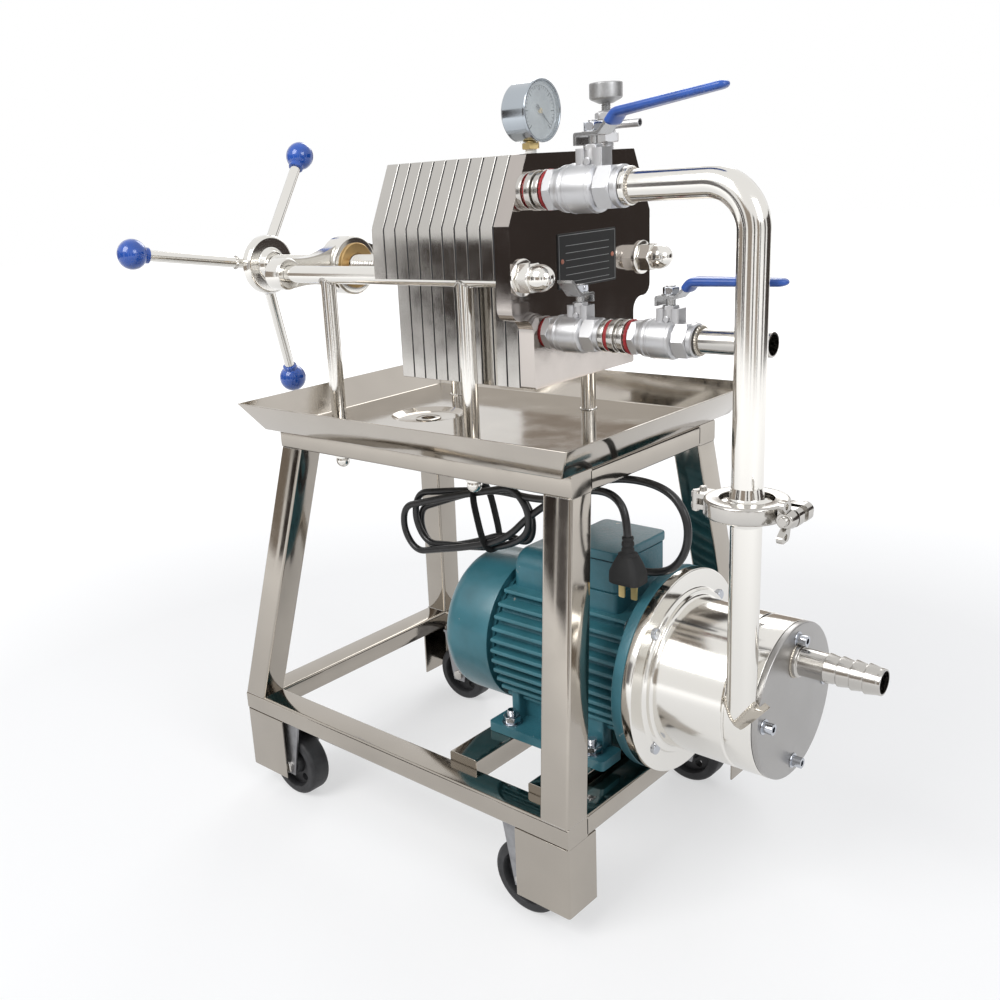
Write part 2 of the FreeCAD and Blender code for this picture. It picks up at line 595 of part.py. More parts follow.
def drain_line():
    """Nipple out of the head, union between the two valves, outlet stub."""
    ends = (LO1_X - VALVE_LEFT, LO1_X + VALVE_RIGHT, LO2_X - VALVE_LEFT, LO2_X + VALVE_RIGHT)
    nipple = ring(10.5, PORT_R, (HEAD_X, LO_Y, LO_Z), X, ends[0] - SEAT - HEAD_X)
    middle = union(ends[1] + SEAT, ends[2] - SEAT, LO_Y, LO_Z)
    x0 = ends[3] + SEAT
    stub = ring(STUB_R, STUB_R - PIPE_WALL, (x0, LO_Y, LO_Z), X, STUB_END - x0)
    stub = stub.fuse(ring(12.8, STUB_R - PIPE_WALL, (x0, LO_Y, LO_Z), X, 4.0))
    return [nipple, middle, stub]


# ------------------------------------------------------------------ pump
def flange_places():
    """Places of the four bolts of the motor flange as (y, z)."""
    d = BOLT_CIRCLE / sqrt(2.0)
    return [(AX_Y + sy * d, AX_Z + sz * d) for sy in (-1, 1) for sz in (-1, 1)]


def casing():
    """Pump body: bolt flange, polished barrel, volute band and the delivery pipe."""
    x0 = MOT_FLANGE_X + SEAT
    joint = COVER_X - COVER_T - x0
    prof = [(0, FLANGE_R), (10, FLANGE_R), (10, 81), (13.5, 79), (13.5, PUMP_R), (83, PUMP_R), (84, 71.4),
            (85.6, 71.4), (86.6, PUMP_R), (joint, PUMP_R)]
    body = turn_x(prof, x0, AX_Y, AX_Z)
    hollow = turn_x([(-1, 32), (14, 32), (20, 62), (70, 62), (joint - 3, 62)], x0, AX_Y, AX_Z)
    body = body.cut(hollow)
    for y, z in flange_places():
        body = body.fuse(cyl(5.5, (x0, y, z), X, 12.5))
    body = body.fuse(drop_pipe())
    body = body.cut(cyl(PIPE_R - PIPE_WALL, (RISER_X, UP_Y, AX_Z + 40), Z, CLAMP_Z - AX_Z))
    return body.removeSplitter()


def cover():
    """Front cover with four cap screws."""
    x0 = COVER_X - COVER_T + SEAT
    t = COVER_T - SEAT
    body = turn_x([(0, PUMP_R - 0.4), (t - 1.0, PUMP_R - 0.4), (t, PUMP_R - 1.4)], x0, AX_Y, AX_Z)
    body = body.cut(cyl(8.5, (x0 - 1, AX_Y, BARB_Z), X, 20))
    for k in range(4):
        a = k * pi / 2
        y, z = AX_Y + CAP_PCD * cos(a), AX_Z + CAP_PCD * sin(a)
        body = body.fuse(cyl(CAP_R, (COVER_X - 0.5, y, z), X, CAP_H + 0.5))
        body = body.cut(hexagon(5.0, (COVER_X + CAP_H - 4.0, y, z), X, 5.0))
    return body.removeSplitter()


def barb():
    """Suction hose tail: collar, smooth pipe and four sawtooth rings."""
    x0 = COVER_X + SEAT
    a = BARB_END - 2.6 - BARB_RINGS * BARB_PITCH - x0
    prof = [(0, 15.0), (4.0, 15.0), (5.0, BARB_R), (a, BARB_R)]
    for k in range(BARB_RINGS):
        prof += [(a, BARB_R + 0.9), (a + BARB_PITCH - 1.0, BARB_R - 0.5), (a + BARB_PITCH, BARB_R - 0.5)]
        a += BARB_PITCH
    n = BARB_END - x0
    prof += [(n, BARB_R - 1.0)]
    body = turn_x(prof, x0, AX_Y, BARB_Z)
    return body.cut(cyl(BARB_R - 2.6, (x0 - 1, AX_Y, BARB_Z), X, n + 2))


# ------------------------------------------------------------------ motor
def motor():
    """Finned motor housing with flange, feet and capacitor cover."""
    x0, x1 = COWL_X + 2.0, MOT_FLANGE_X
    core = turn_x([(0, 66), (152, 66), (152, 76), (160, 80), (163, 80), (163, FLANGE_R),
                   (x1 - x0, FLANGE_R)], x0, AX_Y, AX_Z)
    fins = []
    for k in range(-5, 6):
        z = AX_Z + 11.5 * k
        half = sqrt(max(77.0 ** 2 - (11.5 * k) ** 2, 100.0))
        fins.append(box(x0 + 2, x0 + 152, AX_Y - half, AX_Y + half, z - 2.2, z + 2.2))
    body = core
    for f in fins:
        body = body.fuse(f)
    for sy in (-1, 1):
        ys = sorted((AX_Y + sy * 46, AX_Y + sy * 80))
        body = body.fuse(box(x0 - 4 + 2, x0 + 140, ys[0], ys[1], FOOT_Z, FOOT_Z + 10))
        ys = sorted((AX_Y + sy * 40, AX_Y + sy * 58))
        body = body.fuse(box(x0 + 12, x0 + 126, ys[0], ys[1], FOOT_Z + 10, AX_Z - 40))
        for bx in FOOT_BOLTS:
            yb = AX_Y + sy * 68
            body = body.fuse(hexagon(16.0, (bx, yb, FOOT_Z + 9.5), Z, 8.0))
            body = body.fuse(cyl(5.0, (bx, yb, FOOT_Z + 9.5), Z, 14.0))
    for y, z in flange_places():
        body = body.fuse(hexagon(16.0, (x0 + 156.5, y, z), X, 7.0))
    hump = box(x0 + 2, x0 + 56, AX_Y - 36, AX_Y + 36, AX_Z + 55, AX_Z + 98)
    top = [e for e in hump.Edges if e.BoundBox.XLength > 50 and e.BoundBox.Center.z > AX_Z + 90]
    hump = hump.makeFillet(20.0, top)
    body = body.fuse(hump)
    seat = box(x0 + 62, x0 + 134, AX_Y - 44, AX_Y + 44, AX_Z + 40, BOX_Z0 - SEAT)
    return body.fuse(seat).fuse(fan_plate()).removeSplitter()



def cowl():
    """Fan cover with a rounded back and a vented end."""
    n = COWL_X - COWL_END
    prof = [(22 * (1 - cos(radians(90 * k / 8))), COWL_R - 22 + 22 * sin(radians(90 * k / 8)))
            for k in range(0, 9)]
    prof += [(n, COWL_R), (n, COWL_R - 2)]
    inner = [(2 + 20 * (1 - cos(radians(90 * k / 8))), COWL_R - 24 + 22 * sin(radians(90 * k / 8)))
             for k in range(0, 9)]
    body = turn_x(prof, COWL_END, AX_Y, AX_Z)
    cut = turn_x(inner + [(n + 1, COWL_R - 2)], COWL_END, AX_Y, AX_Z)
    body = body.cut(cut)
    for r in (22, 36, 50):
        for k in range(8):
            t = 2 * pi * k / 8 + (0.2 if r == 36 else 0.0)
            body = body.cut(cyl(4.0, (COWL_END - 1, AX_Y + r * cos(t), AX_Z + r * sin(t)), X, 6))
    return body.removeSplitter()


def fan_plate():
    """Fan on its shaft inside the cowl, and the end shield at the cowl's mouth."""
    seat = COWL_R - 2 - SEAT
    return turn_x([(0, 60), (4, 60), (4, 20), (42, 20), (42, seat), (50.5, seat), (50.5, 70),
                   (54.5, 70)], COWL_END + 14, AX_Y, AX_Z)


def terminal_box():
    body = box(BOX_X0, BOX_X1, AX_Y - 42, AX_Y + 42, BOX_Z0, BOX_Z1 - 3)
    body = body.fuse(box(BOX_X0 - 1.5, BOX_X1 + 1.5, AX_Y - 43.5, AX_Y + 43.5, BOX_Z1 - 3, BOX_Z1))
    up = [e for e in body.Edges if e.BoundBox.ZLength > 2 and e.BoundBox.XLength < 0.1
          and e.BoundBox.YLength < 0.1]
    body = body.makeFillet(5.0, up)
    return body.removeSplitter()


# ------------------------------------------------------------------ trims
def gauge_case():
    body = turn_x([(0, 22.0), (3, 25.0), (26, 25.0), (26, 26.2), (29, 26.2), (29, 24.4), (27.2, 24.0)],
                  GAUGE_X0, GAUGE_Y, GAUGE_Z)
    return body


def gauge_glass():
    return cyl(23.8, (GAUGE_X0 + 27.2 + SEAT, GAUGE_Y, GAUGE_Z), X, 1.4)


def gauge_fitting():
    x = HEAD_X - HEAD_T / 2
    body = cyl(4.4, (x, GAUGE_Y, Z_TOP - 8), Z, 14)
    body = body.fuse(hexagon(14.0, (x, GAUGE_Y, Z_TOP + 3.5), Z, 5.2))
    body = body.cut(cyl(25.0 + SEAT, (GAUGE_X0 - 5, GAUGE_Y, GAUGE_Z), X, 40))
    return body.removeSplitter()



def vent_body():
    x = HEAD_X - HEAD_T / 2
    z = Z_TOP
    body = cyl(4.4, (x, VENT_Y, z - 8), Z, 9)
    body = body.fuse(cyl(7.0, (x, VENT_Y, z + SEAT), Z, 7.0))
    body = body.fuse(hexagon(22.0, (x, VENT_Y, z + 6.5), Z, 9.0))
    body = body.fuse(cyl(8.5, (x, VENT_Y, z + 15.0), Z, 13.0))
    body = body.fuse(hexagon(19.0, (x, VENT_Y, z + 27.0), Z, 7.0))
    body = body.fuse(cyl(3.9, (x, VENT_Y, z + 22.0), X, 37.0))
    body = body.cut(cyl(2.6, (x + 8, VENT_Y, z + 22.0), X, 32.0))
    return body.cut(cyl(4.5 + RUN, (x, VENT_Y, z + 18.0), Z, 30)).removeSplitter()


def vent_knob():
    x = HEAD_X - HEAD_T / 2
    z = Z_TOP
    body = cyl(4.5, (x, VENT_Y, z + 19.0), Z, 26.0)
    body = body.fuse(turn_z([(6.5, 0), (14.0, 3.5), (15.5, 5.0), (15.5, 17.5), (14.3, 18.5)], x, VENT_Y,
                            z + 41.5))
    return body.removeSplitter()


def nameplate():
    return box(HEAD_X, HEAD_X + 1.0, -44.0, 50.0, 581.0, 631.0)


# ------------------------------------------------------------------ cord

def cord_tube(points, d):
    """Round cord along straight runs and tangent arcs; returns solid and length."""
    pts = [V(*p) for p in points]
    n = len(pts)
    cuts, radii, length = [], [], 0.0
    for i in range(1, n - 1):
        a, b = pts[i - 1] - pts[i], pts[i + 1] - pts[i]
        half = (pi - a.getAngle(b)) / 2
        rad = 0.45 * min(a.Length, b.Length) / tan(half)
        back = rad * tan(half)
        ua, ub = a.normalize(), b.normalize()
        cuts.append((pts[i] + ua * back, pts[i] + ub * back, rad, half, ua, ub))
        radii.append(rad)
    solids = []
    here = pts[0]
    for s, e, rad, half, ua, ub in cuts:
        run = s - here
        length += run.Length
        solids.append(Part.makeCylinder(d / 2, run.Length, here, run))
        normal = ua.cross(ub).normalize()
        mid = (ua + ub).normalize()
        centre = s + ua * 0 + (mid * (rad / cos(half)) - ua * (rad * tan(half)))
        face = Part.Face(Part.Wire(Part.makeCircle(d / 2, s, ua * -1)))
        solids.append(face.revolve(centre, normal * -1, 2 * half * 180 / pi))
        length += 2 * half * rad
        here = e
    run = pts[-1] - here
    length += run.Length
    solids.append(Part.makeCylinder(d / 2, run.Length, here, run))
    body = solids[0]
    for s in solids[1:]:
        body = body.fuse(s)
    return body.removeSplitter(), length, min(radii)


def hank():
    """Folded bundle of cord: flat loops held by a tie, as one closed solid."""
    d = CORD_D
    body = None
    specs = [(-66.0, 58.0, 26.0, -8.0, 0.0), (-50.0, 52.0, 30.0, 0.5, 3.0), (-60.0, 46.0, 20.0, 8.5, -4.0)]
    for x0, x1, r, y, tilt in specs:
        h = [Part.makeCylinder(d / 2, x1 - x0, V(x0, y, s * r), X) for s in (-1, 1)]
        loop = h[0].fuse(h[1])
        for x, s in ((x0, -1), (x1, 1)):
            face = Part.Face(Part.Wire(Part.makeCircle(d / 2, V(x, y, r), X)))
            loop = loop.fuse(face.revolve(V(x, y, 0), V(0, s, 0), 180))
        loop.rotate(V(0, 0, 0), Y, tilt)
        body = loop if body is None else body.fuse(loop)
    tie = box(18, 30, -13.0, 13.5, -27.0, 30.0)
    body = body.fuse(tie)
    body.rotate(V(0, 0, 0), Y, -HANK_TILT)
    body.translate(V(*HANK_AT))
    return body.removeSplitter()



def gland():
    x, y, z = CORD_A[0]
    body = hexagon(16.0, (BOX_X1, y, z), X, 5.0).fuse(cyl(7.0, (BOX_X1 + 5.0, y, z), X, 6.0))
    return body.cut(cyl(CORD_D / 2 + SEAT, (BOX_X1 - 1, y, z), X, 14))


def plug():
    """Moulded plug hanging from the cord's end, with two flat pins."""
    x, y, z = CORD_B[-1]
    top = z + 8.0
    body = turn_z([(5.2, 0), (5.8, -14), (9.0, -16), (9.0, -18)], x, y, top)
    lower = loft([rect(x - 8, x + 8, y - 8, y + 8, top - 18), rect(x - 16, x + 16, y - 12, y + 12, top - 34)])
    block = box(x - 16, x + 16, y - 12, y + 12, top - 44, top - 34)
    body = body.fuse(lower).fuse(block)
    body = body.cut(cyl(CORD_D / 2 + SEAT, (x, y, z - 0.3), Z, 30))
    for s in (-1, 1):
        body = body.fuse(box(x + s * 6.5 - 3.2, x + s * 6.5 + 3.2, y - 0.8, y + 0.8, top - 60, top - 44))
    return body.removeSplitter()


# ------------------------------------------------------------------ build
def bearers():
    """Two cross tubes that carry the motor's feet."""
    out = []
    half = BEARER_W / 2
    for bx in (b - BEARER_IN for b in FOOT_BOLTS):
        y0, y1 = LOW_Y0 + LEG + SEAT, LOW_Y1 - LEG - SEAT
        z1 = FOOT_Z - SEAT
        tube = box(bx - half, bx + half, y0, y1, z1 - 25, z1)
        bore = box(bx - half + 2, bx + half - 2, y0 - 1, y1 + 1, z1 - 23, z1 - 2)
        out.append(tube.cut(bore))
    return out


def build():
    nodes = {}
    signs = [(-1, -1), (1, -1), (1, 1), (-1, 1)]
    nodes["legs"] = compound([leg(*s) for s in signs])
    low = (LOW_X0, LOW_X1, LOW_Y0, LOW_Y1, LOW_TOP)
    top = (TOP_X0, TOP_X1, TOP_Y0, TOP_Y1, TOP_TOP)
    sides = rails_x(*low)
    upper = rails_x(*top)
    for px in POST_X:
        upper = [u.cut(cyl(POST_R + SEAT, (px, sy * ROD_Y, TOP_TOP - RAIL_H - 1), Z, RAIL_H + 2))
                 for u, sy in zip(upper, (-1, 1))]
    nodes["side_rails"] = compound(sides + upper)
    nodes["cross_rails"] = compound(rails_y(*low, SEAT) + rails_y(*top, SEAT) + bearers())
    nodes["foot_skirts"] = compound([skirt(*s) for s in signs])
    nodes["caster_forks"] = compound([fork(*s) for s in signs])
    for name, s in zip(("wheel_front_left", "wheel_front_right", "wheel_rear_right",
                        "wheel_rear_left"), signs):
        nodes[name] = wheel(*s)
    nodes["drip_tray"] = tray()
    nodes["posts"] = compound([post(px, sy) for px in POST_X for sy in (-1, 1)])
    nuts = [acorn_down(px, sy * ROD_Y, TOP_TOP - RAIL_H - SEAT, 16.0, 19.0)
            for px in POST_X for sy in (-1, 1)]
    nuts = [n.cut(cyl(POST_R + 0.0, (px, sy * ROD_Y, TOP_TOP - RAIL_H - 9.3), Z, 12))
            for n, (px, sy) in zip(nuts, [(px, sy) for px in POST_X for sy in (-1, 1)])]
    rods = [cyl(ROD_R, (YOKE_X - YOKE_T - 1, sy * ROD_Y, ROD_Z), X, HEAD_X + 8 - YOKE_X + YOKE_T)
            for sy in (-1, 1)]
    nodes["guide_rods"] = compound(rods)
    caps = [acorn_x(HEAD_X, sy * ROD_Y, ROD_Z, 25.0, 32.0).cut(
        cyl(ROD_R, (HEAD_X - 1, sy * ROD_Y, ROD_Z), X, 8.3)) for sy in (-1, 1)]
    nodes["acorn_nuts"] = compound(nuts + caps)
    nodes["fixed_head"] = fixed_head()
    x = HEAD_X - HEAD_T
    for k in range(1, SLAB_N + 1):
        x -= GAP + SLAB_T
        nodes["plate_%d" % k] = plate(x, SLAB_T)
    x -= GAP
    nodes["movable_head"] = movable_head(x)
    nodes["yoke"] = yoke()
    nodes["screw_nut"] = bushing()
    nodes["press_screw"] = screw(x - MOVE_T + 8.0 - SEAT)
    nodes["handwheel_balls"] = compound(balls())
    nodes["nameplate"] = nameplate()
    nodes["gauge_case"] = gauge_case()
    nodes["gauge_glass"] = gauge_glass()
    nodes["gauge_fitting"] = gauge_fitting()
    nodes["vent_body"] = vent_body()
    nodes["vent_knob"] = vent_knob()
    feed_end = UP_VALVE_X - BIG * VALVE_LEFT - SEAT
    nodes["feed_union"] = union(HEAD_X, feed_end, UP_Y, UP_Z)
    nodes["feed_valve"] = valve_body(UP_VALVE_X, UP_Y, UP_Z, BIG)
    nodes["feed_lever"] = lever(UP_VALVE_X, UP_Y, UP_Z, BIG)
    nodes["feed_grip"] = grip(UP_VALVE_X, UP_Y, UP_Z, 88.0, 11.0, BIG)
    nodes["inner_valve"] = valve_body(LO1_X, LO_Y, LO_Z)
    nodes["inner_lever"] = lever(LO1_X, LO_Y, LO_Z, 1.0, 23.0, -90.0)
    nodes["outer_valve"] = valve_body(LO2_X, LO_Y, LO_Z)
    nodes["outer_lever"] = lever(LO2_X, LO_Y, LO_Z)
    nodes["outer_grip"] = grip(LO2_X, LO_Y, LO_Z, 74.0, 0.0)
    nodes["drain_line"] = compound(drain_line())
    nodes["riser_pipe"] = riser()
    nodes["pipe_clamp"] = clamp_ears()
    nodes["pump_casing"] = casing()
    nodes["pump_cover"] = cover()
    nodes["suction_barb"] = barb()
    nodes["motor_body"] = motor()
    nodes["motor_cowl"] = cowl()
    nodes["terminal_box"] = terminal_box()
    a, la, ra = cord_tube(CORD_A, CORD_D)
    b, lb, rb = cord_tube(CORD_B, CORD_D)
    for tag, s, n, r in (("A", a, la, ra), ("B", b, lb, rb)):
        print("cord", tag, "length %.1f" % n, "least radius %.1f" % r,
              "volume %.1f" % s.Volume, "section x length %.1f" % (pi * CORD_D ** 2 / 4 * n))
    nodes["power_cord"] = compound([a, b])
    nodes["cord_hank"] = hank()
    nodes["cord_gland"] = gland()
    nodes["cord_plug"] = plug()
    return nodes


def save(nodes):
    whole = FreeCAD.BoundBox()
    for name, shape in nodes.items():
        shape.translate(V(SHIFT[0], SHIFT[1], 0))
        bad = [s for s in shape.Solids if not s.isValid()]
        if not name.startswith("cord") and name != "power_cord":
            whole.add(shape.BoundBox)
        print("%-18s solids %2d valid %s volume %9.0f" % (name, len(shape.Solids), not bad, shape.Volume))
        shape.exportStep("parts/%s.step" % name)
    print("bounds", whole)


save(build())
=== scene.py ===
"""Dressed model of a plate filter press on a wheeled stainless cart.

Every class is one sub-assembly of the machine. Sizes are millimetres in the machine's layout
frame (x = 0 at the middle of the drip tray, z = 0 on the floor); Shell.piece turns them into the
row frame in metres.
"""
from __future__ import annotations

import json
import logging
import math
from dataclasses import dataclass, field
from enum import Enum

import bmesh
import bpy
import numpy as np
from mathutils import Matrix, Vector
from mathutils.geometry import tessellate_polygon

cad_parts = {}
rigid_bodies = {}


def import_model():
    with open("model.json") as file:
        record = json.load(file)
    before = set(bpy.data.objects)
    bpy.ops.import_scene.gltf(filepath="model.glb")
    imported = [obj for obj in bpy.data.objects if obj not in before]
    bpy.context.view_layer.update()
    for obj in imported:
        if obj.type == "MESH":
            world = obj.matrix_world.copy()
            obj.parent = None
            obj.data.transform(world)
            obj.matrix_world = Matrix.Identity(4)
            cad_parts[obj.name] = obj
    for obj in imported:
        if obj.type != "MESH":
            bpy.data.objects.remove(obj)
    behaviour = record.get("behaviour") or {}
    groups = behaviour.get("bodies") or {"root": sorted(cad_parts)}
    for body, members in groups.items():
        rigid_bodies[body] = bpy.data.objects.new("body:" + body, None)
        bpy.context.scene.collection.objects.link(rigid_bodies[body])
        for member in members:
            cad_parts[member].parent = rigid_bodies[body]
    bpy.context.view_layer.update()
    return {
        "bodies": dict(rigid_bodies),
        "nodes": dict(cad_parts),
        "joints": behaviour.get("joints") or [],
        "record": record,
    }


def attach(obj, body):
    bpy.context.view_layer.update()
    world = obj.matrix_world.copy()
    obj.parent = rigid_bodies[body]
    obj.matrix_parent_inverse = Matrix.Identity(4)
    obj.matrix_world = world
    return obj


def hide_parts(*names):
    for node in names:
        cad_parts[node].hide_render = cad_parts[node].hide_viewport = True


FRAME: dict = {}
LOG = logging.getLogger("filter_press")
MM = 0.001
SHIFT = np.array([-10.75, 7.0, 0.0])
TAU = 2.0 * math.pi


class Axis(Enum):
    """A direction of the layout frame."""

    X = (0, 1, 2)
    Y = (1, 2, 0)
    Z = (2, 0, 1)


# ------------------------------------------------------------------ node graphs
@dataclass
class Graph:
    """A material's node tree with short calls for nodes and links."""

    material: bpy.types.Material
    tree: bpy.types.NodeTree = field(init=False)
    shader: bpy.types.Node = field(init=False)
    coords: bpy.types.Node = field(init=False)

    def __post_init__(self) -> None:
        """Start from one Principled shader that reads Object coordinates."""
        self.material.use_nodes = True
        self.tree = self.material.node_tree
        self.tree.nodes.clear()
        out = self.tree.nodes.new("ShaderNodeOutputMaterial")
        self.shader = self.tree.nodes.new("ShaderNodeBsdfPrincipled")
        self.tree.links.new(self.shader.outputs[0], out.inputs[0])
        self.coords = self.tree.nodes.new("ShaderNodeTexCoord")

    def node(self, kind: str, values: dict | None = None, **props: object) -> bpy.types.Node:
        """Add a node.

        Args:
            kind: node type name.
            values: socket name or index to a plain value.
            props: node properties.

        Returns:
            The new node.
        """
        made = self.tree.nodes.new(kind)
        for name, value in props.items():
            setattr(made, name, value)
        for name, value in (values or {}).items():
            made.inputs[name].default_value = value
        return made

    def link(self, out: bpy.types.NodeSocket, into: bpy.types.NodeSocket) -> None:
        """Join two sockets."""
        self.tree.links.new(out, into)

    def point(self, scale: tuple[float, float, float] = (1.0, 1.0, 1.0)) -> bpy.types.NodeSocket:
        """Object coordinates stretched by scale."""
        mapping = self.node("ShaderNodeMapping", {"Scale": scale})
        self.link(self.coords.outputs["Object"], mapping.inputs["Vector"])
        return mapping.outputs["Vector"]

    def noise(self, size: float, detail: float = 3.0, rough: float = 0.55,
              stretch: tuple[float, float, float] = (1.0, 1.0, 1.0)) -> bpy.types.NodeSocket:
        """Grey fractal noise whose grain is about size metres."""
        made = self.node("ShaderNodeTexNoise",
                         {"Scale": 1.0 / size, "Detail": detail, "Roughness": rough})
        self.link(self.point(stretch), made.inputs["Vector"])
        return made.outputs["Fac"]

    def spread(self, value: bpy.types.NodeSocket, low: float, high: float, a: float,
               b: float) -> bpy.types.NodeSocket:
        """Map value from low..high onto a..b, held at the ends."""
        made = self.node("ShaderNodeMapRange",
                         {"From Min": low, "From Max": high, "To Min": a, "To Max": b})
        self.link(value, made.inputs["Value"])
        return made.outputs["Result"]

    def ramp(self, value: bpy.types.NodeSocket,
             stops: list[tuple[float, tuple[float, float, float]]]) -> bpy.types.NodeSocket:
        """Colour ramp over value."""
        made = self.node("ShaderNodeValToRGB")
        ramp = made.color_ramp
        while len(ramp.elements) < len(stops):
            ramp.elements.new(0.5)
        for element, (place, colour) in zip(ramp.elements, stops):
            element.position = place
            element.color = (*colour, 1.0)
        self.link(value, made.inputs[0])
        return made.outputs[0]

    def bump(self, height: bpy.types.NodeSocket, strength: float, depth: float,
             under: bpy.types.NodeSocket | None = None) -> bpy.types.NodeSocket:
        """Bump from a height, on top of another normal if one is given."""
        made = self.node("ShaderNodeBump", {"Strength": strength, "Distance": depth})
        self.link(height, made.inputs["Height"])
        if under is not None:
            self.link(under, made.inputs["Normal"])
        return made.outputs["Normal"]


# ------------------------------------------------------------------ finishes
@dataclass(frozen=True)
class Finish:
    """A surface finish; each kind paints its own node graph."""

    name: str
    slot: str
    colour: tuple[float, float, float]
    rough: float

    def material(self) -> bpy.types.Material:
        """The finish's material, made once.

        Returns:
            The Blender material with this finish's name.
        """
        found = bpy.data.materials.get(self.name)
        if found is None:
            found = bpy.data.materials.new(self.name)
            graph = Graph(found)
            graph.shader.inputs["Roughness"].default_value = self.rough
            graph.shader.inputs["Base Color"].default_value = (*self.colour, 1.0)
            found.diffuse_color = (*self.colour, 1.0)
            self.paint(graph)
        return found

    def paint(self, graph: Graph) -> None:
        """Add the finish's own nodes."""


@dataclass(frozen=True)
class MirrorSteel(Finish):
    """Buffed stainless steel: faint smears, hairlines and a slow waviness."""

    smear: float = 0.10
    wave: float = 0.0
    grain: tuple[float, float, float] = (1.0, 1.0, 1.0)
    hair: float = 0.05

    def paint(self, graph: Graph) -> None:
        """Roughness from wiped smears, bump from hairlines along the grain."""
        bsdf = graph.shader
        bsdf.inputs["Metallic"].default_value = 1.0
        smear = graph.noise(0.035, 4.0, 0.6)
        graph.link(graph.spread(smear, 0.35, 0.75, self.rough, self.rough + self.smear),
                   bsdf.inputs["Roughness"])
        tone = graph.noise(0.09, 2.0)
        dark = tuple(c * 0.90 for c in self.colour)
        graph.link(graph.ramp(tone, [(0.30, dark), (0.70, self.colour)]), bsdf.inputs["Base Color"])
        hair = graph.noise(0.0016, 2.0, 0.5, self.grain)
        normal = graph.bump(hair, self.hair, 0.00008)
        if self.wave:
            slow = graph.noise(0.055, 1.0, 0.4)
            normal = graph.bump(slow, self.wave, 0.002, normal)
        graph.link(normal, bsdf.inputs["Normal"])


@dataclass(frozen=True)
class CastSteel(Finish):
    """Bead-blasted investment casting: fine grain and darker pits."""

    grit: float = 0.25

    def paint(self, graph: Graph) -> None:
        """Grainy bump and mottled tone."""
        bsdf = graph.shader
        bsdf.inputs["Metallic"].default_value = 1.0
        fine = graph.noise(0.0007, 3.0, 0.6)
        broad = graph.noise(0.012, 3.0)
        bright = tuple(min(1.0, c * 1.18) for c in self.colour)
        dark = tuple(c * 0.72 for c in self.colour)
        graph.link(graph.ramp(broad, [(0.25, dark), (0.75, bright)]), bsdf.inputs["Base Color"])
        graph.link(graph.spread(fine, 0.3, 0.7, self.rough - 0.07, self.rough + 0.10),
                   bsdf.inputs["Roughness"])
        graph.link(graph.bump(fine, self.grit, 0.0003), bsdf.inputs["Normal"])


@dataclass(frozen=True)
class MachinePaint(Finish):
    """Sprayed enamel over metal: orange peel, chips that show primer, and casting grain when rough cast."""

    cast: float = 0.0
    chips: float = 0.0

    def paint(self, graph: Graph) -> None:
        """Orange-peel bump, tone drift, chips that show primer."""
        bsdf = graph.shader
        peel = graph.noise(0.0022, 2.0, 0.5)
        drift = graph.noise(0.05, 3.0)
        light = tuple(min(1.0, c * 1.22 + 0.004) for c in self.colour)
        dark = tuple(c * 0.78 for c in self.colour)
        colour = graph.ramp(drift, [(0.3, dark), (0.72, light)])
        if self.chips:
            spots = graph.noise(0.016, 5.0, 0.62)
            mask = graph.spread(spots, 0.735 - 0.02 * self.chips, 0.745 - 0.02 * self.chips, 0.0, 1.0)
            mix = graph.node("ShaderNodeMix", data_type="RGBA")
            mix.inputs["B"].default_value = (0.42, 0.43, 0.40, 1.0)
            graph.link(mask, mix.inputs["Factor"])
            graph.link(colour, mix.inputs["A"])
            colour = mix.outputs["Result"]
        graph.link(colour, bsdf.inputs["Base Color"])
        normal = graph.bump(peel, 0.16, 0.0004)
        if self.cast:
            grain = graph.noise(0.0035, 4.0, 0.65)
            normal = graph.bump(grain, self.cast, 0.0012, normal)
        graph.link(normal, bsdf.inputs["Normal"])
        graph.link(graph.spread(peel, 0.3, 0.7, self.rough, self.rough + 0.12),
                   bsdf.inputs["Roughness"])
        bsdf.inputs["Coat Weight"].default_value = 0.25
        bsdf.inputs["Coat Roughness"].default_value = 0.15


@dataclass(frozen=True)
class Moulded(Finish):
    """Moulded plastic or rubber with a fine skin."""

    grain: float = 0.0012
    depth: float = 0.10
    coat: float = 0.0
    dust: float = 0.0

    def paint(self, graph: Graph) -> None:
        """Skin bump and slight tone drift, with dust where asked."""
        bsdf = graph.shader
        skin = graph.noise(self.grain, 2.0)
        drift = graph.noise(0.02, 3.0)
        high = tuple(min(1.0, c * 1.25 + 0.003 + 0.05 * self.dust) for c in self.colour)
        low = tuple(c * 0.82 for c in self.colour)
        graph.link(graph.ramp(drift, [(0.3, low), (0.75, high)]), bsdf.inputs["Base Color"])
        graph.link(graph.spread(skin, 0.3, 0.7, self.rough, self.rough + 0.08),
                   bsdf.inputs["Roughness"])
        graph.link(graph.bump(skin, self.depth, 0.0002), bsdf.inputs["Normal"])
        bsdf.inputs["Coat Weight"].default_value = self.coat
        bsdf.inputs["Coat Roughness"].default_value = 0.06


@dataclass(frozen=True)
class ClearGlass(Finish):
    """Thin gauge window."""

    def paint(self, graph: Graph) -> None:
        """Clear shader, the same all over."""
        bsdf = graph.shader
        bsdf.inputs["Transmission Weight"].default_value = 1.0
        bsdf.inputs["IOR"].default_value = 1.45
        bsdf.inputs["Roughness"].default_value = self.rough


